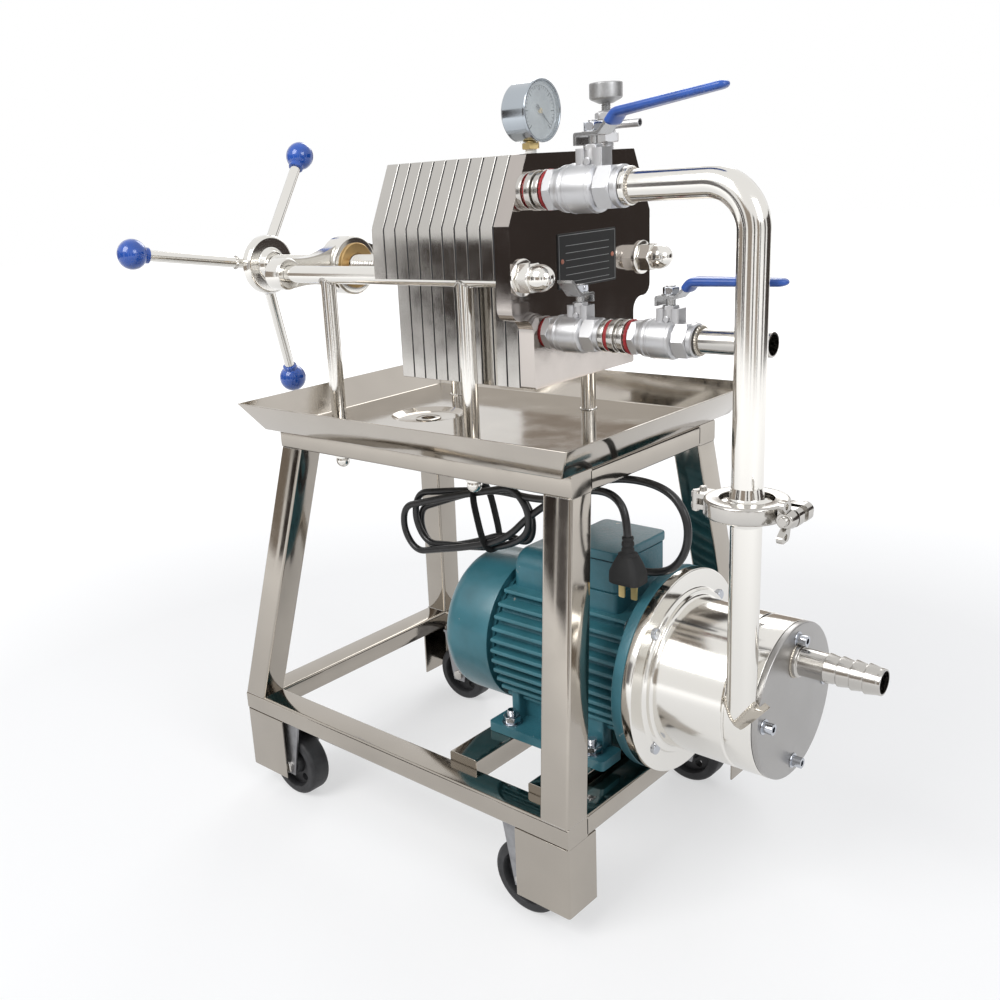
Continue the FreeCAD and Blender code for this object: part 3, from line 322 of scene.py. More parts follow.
class Finishes:
    """The machine's finishes by name."""

    POLISHED = MirrorSteel("polished_steel", "polished_steel", (0.60, 0.57, 0.54), 0.055,
                           smear=0.07)
    # painted shade: cart_steel's base colour is set darker than the steel's own, so the cart tubes render as
    # dark as their reflections of the surroundings
    CART = MirrorSteel("cart_steel", "polished_steel", (0.43, 0.395, 0.35), 0.07, smear=0.09,
                       wave=0.05)
    PLATE = MirrorSteel("ground_plate", "plate_steel", (0.56, 0.54, 0.51), 0.09, smear=0.12,
                        wave=0.06)
    TRAY = MirrorSteel("tray_steel", "polished_steel", (0.52, 0.48, 0.43), 0.06, smear=0.08,
                       wave=0.10)
    CAST = CastSteel("cast_steel", "cast_steel", (0.42, 0.42, 0.43), 0.34)
    TURNED = MirrorSteel("turned_steel", "polished_steel", (0.55, 0.53, 0.50), 0.14, smear=0.10,
                         hair=0.12)
    ZINC = CastSteel("zinc_fork", "fork_zinc", (0.34, 0.34, 0.35), 0.42, grit=0.12)
    TEAL = MachinePaint("teal_enamel", "teal_paint", (0.036, 0.165, 0.205), 0.34, chips=1.0)
    TEAL_CAST = MachinePaint("teal_cast", "teal_paint", (0.033, 0.155, 0.195), 0.42, cast=0.45,
                             chips=1.4)
    RUBBER = Moulded("black_tread", "black_rubber", (0.018, 0.018, 0.020), 0.50, grain=0.002,
                     depth=0.2, dust=0.35)
    BALL = Moulded("blue_ball", "blue_plastic", (0.010, 0.085, 0.440), 0.12, coat=0.6, depth=0.04)
    GRIP = Moulded("blue_vinyl", "blue_grip", (0.020, 0.095, 0.420), 0.28, coat=0.2, depth=0.10)
    CORD = Moulded("cord_jacket", "cord_black", (0.012, 0.012, 0.013), 0.30, grain=0.003,
                   depth=0.08, coat=0.15)
    PLUG = Moulded("plug_black", "plug_black", (0.014, 0.014, 0.015), 0.42, depth=0.25)
    BLACK = Moulded("black_plate", "black_plate", (0.012, 0.012, 0.013), 0.30, depth=0.05)
    # dark finish of the real gaskets, and also of the black sheets in the plate gaps that are painted shade
    SEAL_AND_GAP_SHADE = Moulded("dark_seal_and_gap_shade", "black_rubber", (0.010, 0.010, 0.011), 0.65, depth=0.2)
    RED = Moulded("red_sealant", "black_plate", (0.32, 0.015, 0.018), 0.42, depth=0.4)
    WHITE = Moulded("thread_tape", "gauge_steel", (0.80, 0.80, 0.78), 0.55, depth=0.5)
    DIAL = Moulded("dial_face", "gauge_steel", (0.62, 0.64, 0.64), 0.45, depth=0.02)
    INK = Moulded("dial_ink", "black_plate", (0.020, 0.020, 0.022), 0.50, depth=0.02)
    COPPER = Moulded("rivet_copper", "bronze", (0.45, 0.16, 0.10), 0.35, depth=0.1)
    BRASS = CastSteel("brass", "brass", (0.76, 0.57, 0.25), 0.20, grit=0.06)
    BRONZE = CastSteel("bronze", "bronze", (0.55, 0.40, 0.20), 0.26, grit=0.08)
    HEAD = MirrorSteel("head_steel", "polished_steel", (0.50, 0.46, 0.43), 0.05, smear=0.10,
                       wave=0.05)
    HEAT = MirrorSteel("welded_steel", "polished_steel", (0.50, 0.46, 0.40), 0.20, smear=0.14,
                       hair=0.2)
    FACE = MirrorSteel("brushed_face", "polished_steel", (0.42, 0.41, 0.40), 0.30, smear=0.06,
                       hair=0.15)
    ARM = MirrorSteel("pressed_steel", "cast_steel", (0.50, 0.50, 0.50), 0.22, smear=0.10)
    NUT = MirrorSteel("plated_nut", "polished_steel", (0.54, 0.56, 0.60), 0.12, smear=0.08)
    KNOB = CastSteel("vent_knob", "cast_steel", (0.42, 0.42, 0.42), 0.40)
    GAUGE = MirrorSteel("gauge_zinc", "gauge_steel", (0.46, 0.50, 0.54), 0.12, smear=0.10)
    RULE = Moulded("rule_grey", "black_plate", (0.34, 0.34, 0.33), 0.4)
    TEAL_FIN = MachinePaint("teal_fin", "teal_paint", (0.042, 0.185, 0.225), 0.40, cast=0.55,
                            chips=1.2)
    TEAL_CHIP = MachinePaint("teal_worn", "teal_paint", (0.035, 0.160, 0.200), 0.36, cast=0.25,
                             chips=2.2)
    GLASS = ClearGlass("gauge_glass", "gauge_glass", (0.95, 0.97, 0.97), 0.0)


# ------------------------------------------------------------------ surfaces
def corner_arc(corner: np.ndarray, u: np.ndarray, w: np.ndarray, radius: float,
               steps: int) -> np.ndarray:
    """Arc tangent to the two unit directions that leave a corner.

    Its centre lies on the bisector, at radius over the sine of the half angle, and the arc is
    swept between its two tangent points.

    Args:
        corner: the corner point.
        u: direction back along the first side.
        w: direction on along the second side.
        radius: radius of the arc.
        steps: segments of the arc.

    Returns:
        The arc's points.
    """
    half = 0.5 * math.acos(float(np.clip(u @ w, -1.0, 1.0)))
    back = radius / math.tan(half)
    centre = corner + (u + w) / np.linalg.norm(u + w) * (radius / math.sin(half))
    a, b = corner + u * back - centre, corner + w * back - centre
    t = np.linspace(0.0, 1.0, steps + 1)[:, None]
    angle = math.pi - 2 * half
    return centre + (np.sin((1 - t) * angle) * a + np.sin(t * angle) * b) / math.sin(angle)


def polar(along: float | np.ndarray, radius: float | np.ndarray, t: np.ndarray,
          centre: tuple[float, float, float], axis: Axis) -> np.ndarray:
    """Points at distances along an axis, radii from it and angles t round it.

    Each is the centre, plus along on the axis, plus radius times cosine t and sine t on the two
    other directions.

    Args:
        along: distances along the axis.
        radius: distances from the axis.
        t: angles.
        centre: a point on the axis.
        axis: the axis.

    Returns:
        The points, with the shape that the three arrays broadcast to.
    """
    out, up = radius * np.cos(t), radius * np.sin(t)
    i, j, k = axis.value
    pts = np.zeros((*np.broadcast_shapes(np.shape(along), out.shape), 3))
    pts[..., i], pts[..., j], pts[..., k] = along, out, up
    return pts + np.asarray(centre, float)


def turns_left(loop: np.ndarray) -> bool:
    """Whether a flat loop runs anticlockwise, from the sign of its area."""
    x, y = loop.T
    return float(np.sum(x * np.roll(y, -1) - np.roll(x, -1) * y)) > 0


def rounded(points: list[tuple[float, float]], radii: float | list[float], steps: int = 5,
            closed: bool = False) -> np.ndarray:
    """Round the corners of a polyline with arcs tangent to both sides.

    Args:
        points: corner points.
        radii: one radius for all, or one per point.
        steps: segments per arc.
        closed: whether the last point joins the first.

    Returns:
        The rounded polyline as an (n, 2) array.
    """
    pts = np.asarray(points, float)
    count = len(pts)
    rad = np.full(count, radii, float) if np.isscalar(radii) else np.asarray(radii, float)
    out: list[np.ndarray] = []
    for i in range(count):
        before, after = pts[i - 1], pts[(i + 1) % count]
        if (not closed and i in (0, count - 1)) or rad[i] <= 1e-6:
            out.append(pts[i][None])
            continue
        u = before - pts[i]
        w = after - pts[i]
        lu, lw = np.linalg.norm(u), np.linalg.norm(w)
        u, w = u / lu, w / lw
        half = 0.5 * math.acos(float(np.clip(u @ w, -1.0, 1.0)))
        if half > math.pi / 2 - 1e-3 or half < 1e-3:
            out.append(pts[i][None])
            continue
        r = min(rad[i], 0.49 * min(lu, lw) * math.tan(half))
        out.append(corner_arc(pts[i], u, w, r, steps))
    return np.vstack(out)


@dataclass
class Shell:
    """A mesh being put together: vertices in layout millimetres and its faces."""

    verts: np.ndarray = field(default_factory=lambda: np.zeros((0, 3)))
    faces: list[list[int]] = field(default_factory=list)

    def add(self, verts: np.ndarray, faces: list[list[int]] | np.ndarray) -> "Shell":
        """Append a part given by vertices and faces, and return self."""
        base = len(self.verts)
        self.verts = np.vstack([self.verts, verts])
        if isinstance(faces, np.ndarray):
            self.faces += (faces + base).tolist()
        else:
            self.faces += [[i + base for i in f] for f in faces]
        return self

    def join(self, *others: "Shell") -> "Shell":
        """Append other shells and return self."""
        for other in others:
            self.add(other.verts, other.faces)
        return self

    def grid(self, surface: np.ndarray, wrap_u: bool = False, wrap_v: bool = False,
             cap_start: bool = False, cap_end: bool = False) -> "Shell":
        """Quads over a grid of points.

        Args:
            surface: (nu, nv, 3) points, v running round a section.
            wrap_u: join the last row to the first.
            wrap_v: join the last column to the first.
            cap_start: close the first row with one face.
            cap_end: close the last row with one face.

        Returns:
            self.
        """
        nu, nv = surface.shape[:2]
        u = np.arange(nu if wrap_u else nu - 1)[:, None]
        v = np.arange(nv if wrap_v else nv - 1)[None, :]
        a = u * nv + v
        b = u * nv + (v + 1) % nv
        c = (u + 1) % nu * nv + (v + 1) % nv
        d = (u + 1) % nu * nv + v
        quads = np.stack([a, b, c, d], -1).reshape(-1, 4)
        faces = quads.tolist()
        if cap_start:
            faces.append(list(range(nv))[::-1])
        if cap_end:
            faces.append([(nu - 1) * nv + k for k in range(nv)])
        return self.add(surface.reshape(-1, 3), faces)

    def outward(self) -> "Shell":
        """Turn the faces of a closed shell over if they point inward, and return self."""
        fans = [(f[0], b, c) for f in self.faces for b, c in zip(f[1:], f[2:])]
        a, b, c = (self.verts - self.verts[0])[np.array(fans)].transpose(1, 0, 2)
        if np.einsum("ij,ij->", a, np.cross(b, c)) < 0.0:
            self.faces = [f[::-1] for f in self.faces]
        return self

    def moved(self, x: float = 0.0, y: float = 0.0, z: float = 0.0) -> "Shell":
        """A copy moved by the given amounts."""
        return Shell(self.verts + np.array([x, y, z]), [list(f) for f in self.faces])

    def turned(self, axis: tuple[float, float, float], angle: float,
               about: tuple[float, float, float] = (0.0, 0.0, 0.0)) -> "Shell":
        """A copy turned by angle degrees round an axis through a point."""
        rot = np.array(Matrix.Rotation(math.radians(angle), 3, Vector(axis)))
        centre = np.asarray(about, float)
        return Shell((self.verts - centre) @ rot.T + centre, [list(f) for f in self.faces])

    def piece(self, name: str, finish: Finish, body: str = "press_frame", sharp: float = 32.0,
              bevel: float = 0.0, replaces: tuple[str, ...] = ()) -> bpy.types.Object:
        """Make the Blender object, seated on its body.

        Args:
            name: piece name.
            finish: its finish.
            body: the CAD body it rides on.
            sharp: edges that turn more than this many degrees stay sharp.
            bevel: edge round in millimetres, 0 for none.
            replaces: CAD nodes that the piece stands for.

        Returns:
            The object.
        """
        mesh = bpy.data.meshes.new(name)
        mesh.from_pydata((self.verts + SHIFT) * MM, [], self.faces)
        mesh.validate()
        return dress(bpy.data.objects.new(name, mesh), finish, body, sharp, bevel, replaces)


def dress(obj: bpy.types.Object, finish: Finish, body: str, sharp: float, bevel: float,
          replaces: tuple[str, ...] = ()) -> bpy.types.Object:
    """Link, shade, bevel and seat a finished mesh object.

    Args:
        obj: the object.
        finish: its finish.
        body: the CAD body it rides on.
        sharp: angle in degrees above which edges stay sharp.
        bevel: edge round in millimetres.
        replaces: CAD nodes that it stands for.

    Returns:
        The same object.
    """
    mesh = obj.data
    if obj.name not in bpy.context.scene.collection.objects:
        bpy.context.scene.collection.objects.link(obj)
    mesh.polygons.foreach_set("use_smooth", np.ones(len(mesh.polygons), bool))
    mesh.set_sharp_from_angle(angle=math.radians(sharp))
    mesh.materials.clear()
    mesh.materials.append(finish.material())
    if bevel:
        edge = obj.modifiers.new("edge_round", "BEVEL")
        edge.width = bevel * MM
        edge.segments = 2
        edge.limit_method = "ANGLE"
        edge.angle_limit = math.radians(sharp)
        edge.harden_normals = True
    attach(obj, body)
    if replaces:
        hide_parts(*replaces)
    LOG.info("piece %s: %d faces on %s", obj.name, len(mesh.polygons), body)
    return obj


def lathe(section: np.ndarray | list[tuple[float, float]], centre: tuple[float, float, float],
          axis: Axis = Axis.X, around: int = 96, ring: bool = False) -> Shell:
    """Surface of revolution: each (along, radius) pair is carried round a full circle.

    Args:
        section: (n, 2) pairs of distance along the axis and radius.
        centre: a point on the axis.
        axis: the axis.
        around: segments round the circle.
        ring: close the section on itself, for a ring with a bore.

    Returns:
        The shell, closed at its ends.
    """
    pairs = np.asarray(section, float)
    t = np.linspace(0.0, TAU, around, endpoint=False)
    pts = polar(pairs[:, :1], pairs[:, 1:], t, centre, axis)
    start = not ring and pairs[0, 1] > 1e-6
    end = not ring and pairs[-1, 1] > 1e-6
    return Shell().grid(pts, wrap_u=ring, wrap_v=True, cap_start=start, cap_end=end).outward()


def prism(outline: np.ndarray, low: float, high: float, axis: Axis = Axis.X,
          holes: list[np.ndarray] | None = None) -> Shell:
    """Straight extrusion of a flat outline, with holes right through it.

    The two caps are the outline's own triangles; each loop is carried from low to high as walls.

    Args:
        outline: (n, 2) points on the two directions that follow the axis.
        low: start along the axis.
        high: end along the axis.
        axis: extrusion axis.
        holes: inner loops.

    Returns:
        The shell.
    """
    loops = [np.asarray(outline, float)] + [np.asarray(h, float) for h in holes or []]
    i, j, k = axis.value
    flat = np.vstack(loops)
    count = len(flat)
    verts = np.zeros((2 * count, 3))
    verts[:count, i] = low
    verts[count:, i] = high
    verts[:, j] = np.tile(flat[:, 0], 2)
    verts[:, k] = np.tile(flat[:, 1], 2)
    faces: list[list[int]] = []
    if len(loops) == 1:
        ring = list(range(count)) if turns_left(flat) else list(range(count))[::-1]
        faces += [ring[::-1], [a + count for a in ring]]
    else:
        tris = tessellate_polygon([[Vector((*p, 0.0)) for p in loop] for loop in loops])
        for a, b, c in tris:
            cross = np.cross(flat[b] - flat[a], flat[c] - flat[a])
            tri = [a, b, c] if cross > 0 else [a, c, b]
            faces.append(tri[::-1])
            faces.append([q + count for q in tri])
    base = 0
    for n, loop in enumerate(loops):
        size = len(loop)
        a = base + np.arange(size)
        b = base + (np.arange(size) + 1) % size
        quads = np.stack([a, b, b + count, a + count], -1)
        if turns_left(loop) != (n == 0):
            quads = quads[:, ::-1]
        faces += quads.tolist()
        base += size
    return Shell(verts, faces).outward()


def circle(cx: float, cy: float, radius: float, around: int = 48, start: float = 0.0,
           end: float = TAU) -> np.ndarray:
    """Points on a circle or on an arc of it."""
    full = abs(end - start - TAU) < 1e-9
    t = np.linspace(start, end, around, endpoint=not full)
    return np.stack([cx + radius * np.cos(t), cy + radius * np.sin(t)], -1)


def hexagon_loop(cx: float, cy: float, flats: float, turn: float = 0.0) -> np.ndarray:
    """Six corners of a hexagon with the given width across its flats."""
    return circle(cx, cy, flats / math.sqrt(3.0), 6, turn, turn + TAU)


def sweep(path: np.ndarray, section: np.ndarray, closed: bool = False, caps: bool = True,
          up: tuple[float, float, float] = (0.0, 0.0, 1.0)) -> Shell:
    """Carry a section along a path without twist.

    The frame at each point is the one before it turned by the least rotation that takes one
    tangent to the next.

    Args:
        path: (n, 3) centre line.
        section: (m, 2) closed section, or (n, m, 2) with one section per point.
        closed: whether the path is a loop.
        caps: close the two ends.
        up: first guess for the section's second direction.

    Returns:
        The shell.
    """
    pts = np.asarray(path, float)
    if closed:
        tangents = np.roll(pts, -1, 0) - np.roll(pts, 1, 0)
    else:
        tangents = np.gradient(pts, axis=0)
    tangents /= np.linalg.norm(tangents, axis=1, keepdims=True)
    second = np.asarray(up, float) - tangents[0] * float(np.dot(up, tangents[0]))
    if np.linalg.norm(second) < 1e-3:
        second = np.cross(tangents[0], (1.0, 0.0, 0.0))
    second /= np.linalg.norm(second)
    frames = np.zeros((len(pts), 2, 3))
    for i, tangent in enumerate(tangents):
        second = second - tangent * float(second @ tangent)
        second /= np.linalg.norm(second)
        frames[i, 0] = np.cross(second, tangent)
        frames[i, 1] = second
    shape = np.asarray(section, float)
    if shape.ndim == 2:
        shape = np.broadcast_to(shape, (len(pts), *shape.shape))
    grid = (pts[:, None, :] + shape[..., :1] * frames[:, None, 0, :]
            + shape[..., 1:] * frames[:, None, 1, :])
    return Shell().grid(grid[:, ::-1], wrap_u=closed, wrap_v=True, cap_start=caps and not closed,
                        cap_end=caps and not closed).outward()


def bend_path(points: list[tuple[float, float, float]], radius: float, steps: int = 16) -> np.ndarray:
    """Straight runs joined by arcs of one radius, as a pipe bender leaves them.

    Args:
        points: corner points.
        radius: bend radius.
        steps: points per arc.

    Returns:
        (n, 3) path.
    """
    pts = np.asarray(points, float)
    out = [pts[0][None]]
    for a, b, c in zip(pts[:-2], pts[1:-1], pts[2:]):
        u = (a - b) / np.linalg.norm(a - b)
        w = (c - b) / np.linalg.norm(c - b)
        out.append(corner_arc(b, u, w, radius, steps))
    out.append(pts[-1][None])
    return np.vstack(out)


def cad_copy(node: str, name: str, finish: Finish, body: str = "press_frame", bevel: float = 0.35,
             sharp: float = 30.0) -> bpy.types.Object:
    """A CAD node's own shape with its doubles merged, flats rejoined and edges rounded.

    Args:
        node: CAD node.
        name: new piece's name.
        finish: its finish.
        body: the CAD body it rides on.
        bevel: edge round in millimetres.
        sharp: angle above which edges stay sharp.

    Returns:
        The new piece, which replaces the node.
    """
    source = FRAME["nodes"][node]
    mesh = source.data.copy()
    mesh.name = name
    work = bmesh.new()
    work.from_mesh(mesh)
    bmesh.ops.remove_doubles(work, verts=work.verts, dist=2e-6)
    bmesh.ops.dissolve_limit(work, angle_limit=math.radians(0.6), verts=work.verts,
                             edges=work.edges)
    work.to_mesh(mesh)
    work.free()
    obj = bpy.data.objects.new(name, mesh)
    return dress(obj, finish, body, sharp, bevel, (node,))


def aimed(shell: Shell, point: tuple[float, float, float],
          direction: tuple[float, float, float]) -> Shell:
    """A shell built along +X from the origin, turned to point along direction from a point."""
    rot = np.array(Vector((1.0, 0.0, 0.0)).rotation_difference(Vector(direction)).to_matrix())
    return Shell(shell.verts @ rot.T + np.asarray(point, float), [list(f) for f in shell.faces])


def rounded_box(x: tuple[float, float], y: tuple[float, float], z: tuple[float, float],
                axis: Axis = Axis.Z, radius: float = 2.5, steps: int = 4) -> Shell:
    """A bar whose four edges along one axis are rounded."""
    span = [x, y, z]
    i, j, k = axis.value
    (a0, a1), (b0, b1) = span[j], span[k]
    loop = rounded([(a0, b0), (a1, b0), (a1, b1), (a0, b1)], radius, steps, closed=True)
    return prism(loop, *span[i], axis)


def nut(centre: tuple[float, float, float], axis: Axis, flats: float, length: float,
        turn: float = 0.0) -> Shell:
    """Hexagon nut whose corners are turned off at both ends.

    The radius at angle t is the hexagon's, half the flats over the cosine of the angle from the
    nearest flat's middle, but never more than the chamfer cone's at that height.

    Args:
        centre: middle of its lower face.
        axis: its axis.
        flats: width across the flats.
        length: height.
        turn: angle of the first corner in radians.

    Returns:
        The shell.
    """
    half = flats / 2.0
    t = np.linspace(0.0, TAU, 72, endpoint=False)
    sector = (t - turn) % (TAU / 6) - TAU / 12
    hexa = half / np.cos(sector)
    deep = half * 0.118
    along = np.concatenate([np.linspace(0.0, deep, 5), np.linspace(length - deep, length, 5)])
    cone = half * 0.955 + np.minimum(along, length - along) * math.sqrt(3.0)
    radius = np.minimum(hexa[None, :], cone[:, None])
    return Shell().grid(polar(along[:, None], radius, t, centre, axis), wrap_v=True, cap_start=True,
                        cap_end=True)


def thread(low: float, high: float, centre: tuple[float, float, float], axis: Axis, radius: float,
           depth: float, pitch: float, around: int = 36, per_turn: int = 8) -> Shell:
    """Screw thread: the radius falls and rises with distance along minus turns times pitch.

    Args:
        low: start along the axis.
        high: end along the axis.
        centre: a point on the axis.
        axis: the axis.
        radius: crest radius.
        depth: crest to root.
        pitch: distance per turn.
        around: segments round the circle.
        per_turn: rows per pitch.

    Returns:
        The shell, closed at its ends.
    """
    rows = max(4, int((high - low) / pitch * per_turn))
    along = np.linspace(low, high, rows)
    t = np.linspace(0.0, TAU, around, endpoint=False)
    phase = (along[:, None] / pitch - t[None, :] / TAU) % 1.0
    wave = np.clip(1.6 * np.abs(2.0 * phase - 1.0) - 0.3, 0.0, 1.0)
    end = np.clip(np.minimum(along - low, high - along) / pitch, 0.0, 1.0)[:, None]
    r = radius - depth * (1.0 - wave * end)
    return Shell().grid(polar(along[:, None], r, t, centre, axis), wrap_v=True, cap_start=True,
                        cap_end=True)


def weld(path: np.ndarray, radius: float, closed: bool = False, pitch: float = 2.2) -> Shell:
    """Weld bead: a round section along the seam whose radius ripples once per pitch.

    Args:
        path: (n, 3) seam.
        radius: mean radius.
        closed: whether the seam is a loop.
        pitch: ripple spacing.

    Returns:
        The shell.
    """
    pts = np.asarray(path, float)
    ends = np.vstack([pts, pts[:1]]) if closed else pts
    step = np.linalg.norm(np.diff(ends, axis=0), axis=1)
    run = np.concatenate([[0.0], np.cumsum(step)])
    total = run[-1]
    count = max(12, int(total / (pitch / 4)))
    s = np.linspace(0.0, total, count, endpoint=not closed)
    line = np.stack([np.interp(s, run, ends[:, a]) for a in range(3)], -1)
    swell = radius * (1.0 + 0.16 * np.cos(TAU * s / pitch))
    if not closed:
        swell = swell * np.sqrt(np.clip(np.minimum(s, total - s) / radius, 0.15, 1.0))
    section = circle(0.0, 0.0, 1.0, 10)[None] * swell[:, None, None]
    return sweep(line, section, closed).outward()


def ring_path(centre: tuple[float, float, float], axis: Axis, radius: float,
              around: int = 72) -> np.ndarray:
    """Points of a circle square to an axis."""
    return polar(0.0, radius, np.linspace(0.0, TAU, around, endpoint=False), centre, axis)


def dome_nut(centre: tuple[float, float, float], axis: Axis, flats: float, reach: float,
             sign: float = 1.0) -> Shell:
    """Acorn nut on a washer: hexagon, short neck and half an ellipse turned round the axis.

    Args:
        centre: point on the seat.
        axis: its axis.
        flats: width across the flats.
        reach: height above the washer.
        sign: 1 to point along the axis, -1 against it.

    Returns:
        The shell.
    """
    r, washer = flats / 2.0, 2.0
    tall = reach * 0.42
    neck = washer + tall + reach * 0.16
    t = np.linspace(0.0, math.pi / 2, 14)
    dome = [(neck + reach * 0.42 * math.sin(a), r * 0.96 * math.cos(a)) for a in t[:-1]]
    dome.append((neck + reach * 0.42, 0.0))
    body = lathe([(0, flats * 0.64), (0.3, flats * 0.66), (1.7, flats * 0.66), (washer, flats * 0.64),
                  (washer, r * 0.6)], (0, 0, 0), Axis.X, 64)
    body.join(nut((washer, 0, 0), Axis.X, flats, tall))
    body.join(lathe([(washer + tall - 0.2, r * 0.90), (washer + tall + 0.6, r * 0.93)] + dome,
                    (0, 0, 0), Axis.X, 64))
    way = [0.0, 0.0, 0.0]
    way[axis.value[0]] = sign
    return aimed(body, centre, tuple(way))


# ------------------------------------------------------------------ cart
@dataclass
class Cart:
    """Welded cart: two rings of rectangular tube, battered legs, bearers and corner skirts."""

    tube: float = 32.0
    rail: float = 22.0
    low: tuple[float, float, float, float] = (-242.0, 224.0, -182.0, 168.0)
    top: tuple[float, float, float, float] = (-196.0, 197.0, -128.0, 122.0)
    low_top: float = 120.0
    top_top: float = 434.0
    corner: float = 3.0
    skirt_wide: float = 62.0
    skirt_deep: float = 44.0
    skirt_low: float = 25.0
    bearers: tuple[float, float] = (73.0, 173.0)
    signs: tuple[tuple[int, int], ...] = ((-1, -1), (1, -1), (1, 1), (-1, 1))

    def at(self, sx: int, sy: int, ring: tuple[float, float, float, float]) -> tuple[float, float]:
        """Outer corner of a ring at the given sides."""
        return (ring[1] if sx > 0 else ring[0], ring[3] if sy > 0 else ring[2])

    def leg(self, sx: int, sy: int) -> Shell:
        """Loft of one rounded square between the two rings.

        Args:
            sx: side along X.
            sy: side along Y.

        Returns:
            The shell.
        """
        loops = []
        for ring, z in ((self.low, self.low_top), (self.top, self.top_top - self.rail)):
            cx, cy = self.at(sx, sy, ring)
            x0, x1 = sorted((cx, cx - sx * self.tube))
            y0, y1 = sorted((cy, cy - sy * self.tube))
            flat = rounded([(x0, y0), (x1, y0), (x1, y1), (x0, y1)], self.corner, 4, closed=True)
            loops.append(np.column_stack([flat, np.full(len(flat), z)]))
        return Shell().grid(np.stack(loops), wrap_v=True, cap_start=True, cap_end=True)

    def seam(self, sx: int, sy: int, ring: tuple[float, float, float, float], z: float) -> Shell:
        """Ground-down weld where a leg meets a ring."""
        cx, cy = self.at(sx, sy, ring)
        (x0, x1), (y0, y1) = sorted((cx, cx - sx * self.tube)), sorted((cy, cy - sy * self.tube))
        flat = rounded([(x0 + 0.8, y0 + 0.8), (x1 - 0.8, y0 + 0.8), (x1 - 0.8, y1 - 0.8),
                        (x0 + 0.8, y1 - 0.8)], self.corner, 4, closed=True)
        return weld(np.column_stack([flat, np.full(len(flat), z)]), 0.8, True, 2.6)

    def rails(self, ring: tuple[float, float, float, float], top: float) -> tuple[Shell, Shell]:
        """Side rails and end rails of one ring.

        Args:
            ring: its outer edges x0, x1, y0, y1.
            top: its top.

        Returns:
            Two shells: the long sides and the ends between them.
        """
        x0, x1, y0, y1 = ring
        z = (top - self.rail, top)
        w = self.tube
        sides = rounded_box((x0, x1), (y0, y0 + w), z, Axis.X, self.corner)
        sides.join(rounded_box((x0, x1), (y1 - w, y1), z, Axis.X, self.corner))
        ends = Shell()
        for a in (x0, x1 - w):
            ends.join(rounded_box((a, a + w), (y0 + w - 2.5, y1 - w + 2.5), z, Axis.Y, self.corner))
        return sides, ends

    def end_seams(self, ring: tuple[float, float, float, float], top: float) -> Shell:
        """Thin beads where the end rails butt against the side rails."""
        x0, x1, y0, y1 = ring
        out = Shell()
        for y in (y0 + self.tube, y1 - self.tube):
            for x, way in ((x0 + self.tube, 1), (x1 - self.tube, -1)):
                line = [(x - way * self.tube, y, top), (x - way * 3, y, top)]
                out.join(weld(np.array(line, float), 0.7))
        return out

    def skirt(self, sx: int, sy: int) -> Shell:
        """Angle of sheet under a corner, its bend rounded.

        Args:
            sx: side along X.
            sy: side along Y.

        Returns:
            The shell.
        """
        cx, cy = self.at(sx, sy, self.low)
        t = 2.0
        pts = [(0, 0), (self.skirt_wide, 0), (self.skirt_wide, t), (t, t), (t, self.skirt_deep),
               (0, self.skirt_deep)]
        loop = rounded([(cx - sx * a, cy - sy * b) for a, b in pts], [2.6, 0, 0, 0.8, 0, 0], 5, True)
        return prism(loop, self.skirt_low, self.low_top - self.rail + 0.5, Axis.Z)

    def build(self) -> None:
        """Make the cart's pieces."""
        Shell().join(*(self.leg(*s) for s in self.signs)).piece(
            "cart_legs", Finishes.CART, replaces=("legs",))
        low_sides, low_ends = self.rails(self.low, self.low_top)
        top_sides, top_ends = self.rails(self.top, self.top_top)
        low_sides.join(top_sides).piece("cart_side_rails", Finishes.CART, bevel=0.6,
                                        replaces=("side_rails",))
        bearers = Shell()
        for x in self.bearers:
            bearers.join(rounded_box((x - 17.5, x + 17.5), (self.low[2] + 31, self.low[3] - 31),
                                     (104.7, 129.7), Axis.Y, 2.5))
        low_ends.join(top_ends, bearers).piece("cart_cross_rails", Finishes.CART, bevel=0.6,
                                               replaces=("cross_rails",))
        Shell().join(*(self.skirt(*s) for s in self.signs)).piece(
            "cart_skirts", Finishes.CART, bevel=0.4, replaces=("foot_skirts",))
        seams = Shell()
        for s in self.signs:
            seams.join(self.seam(*s, self.low, self.low_top),
                       self.seam(*s, self.top, self.top_top - self.rail))
        seams.join(self.end_seams(self.low, self.low_top))
        seams.piece("cart_welds", Finishes.TURNED)


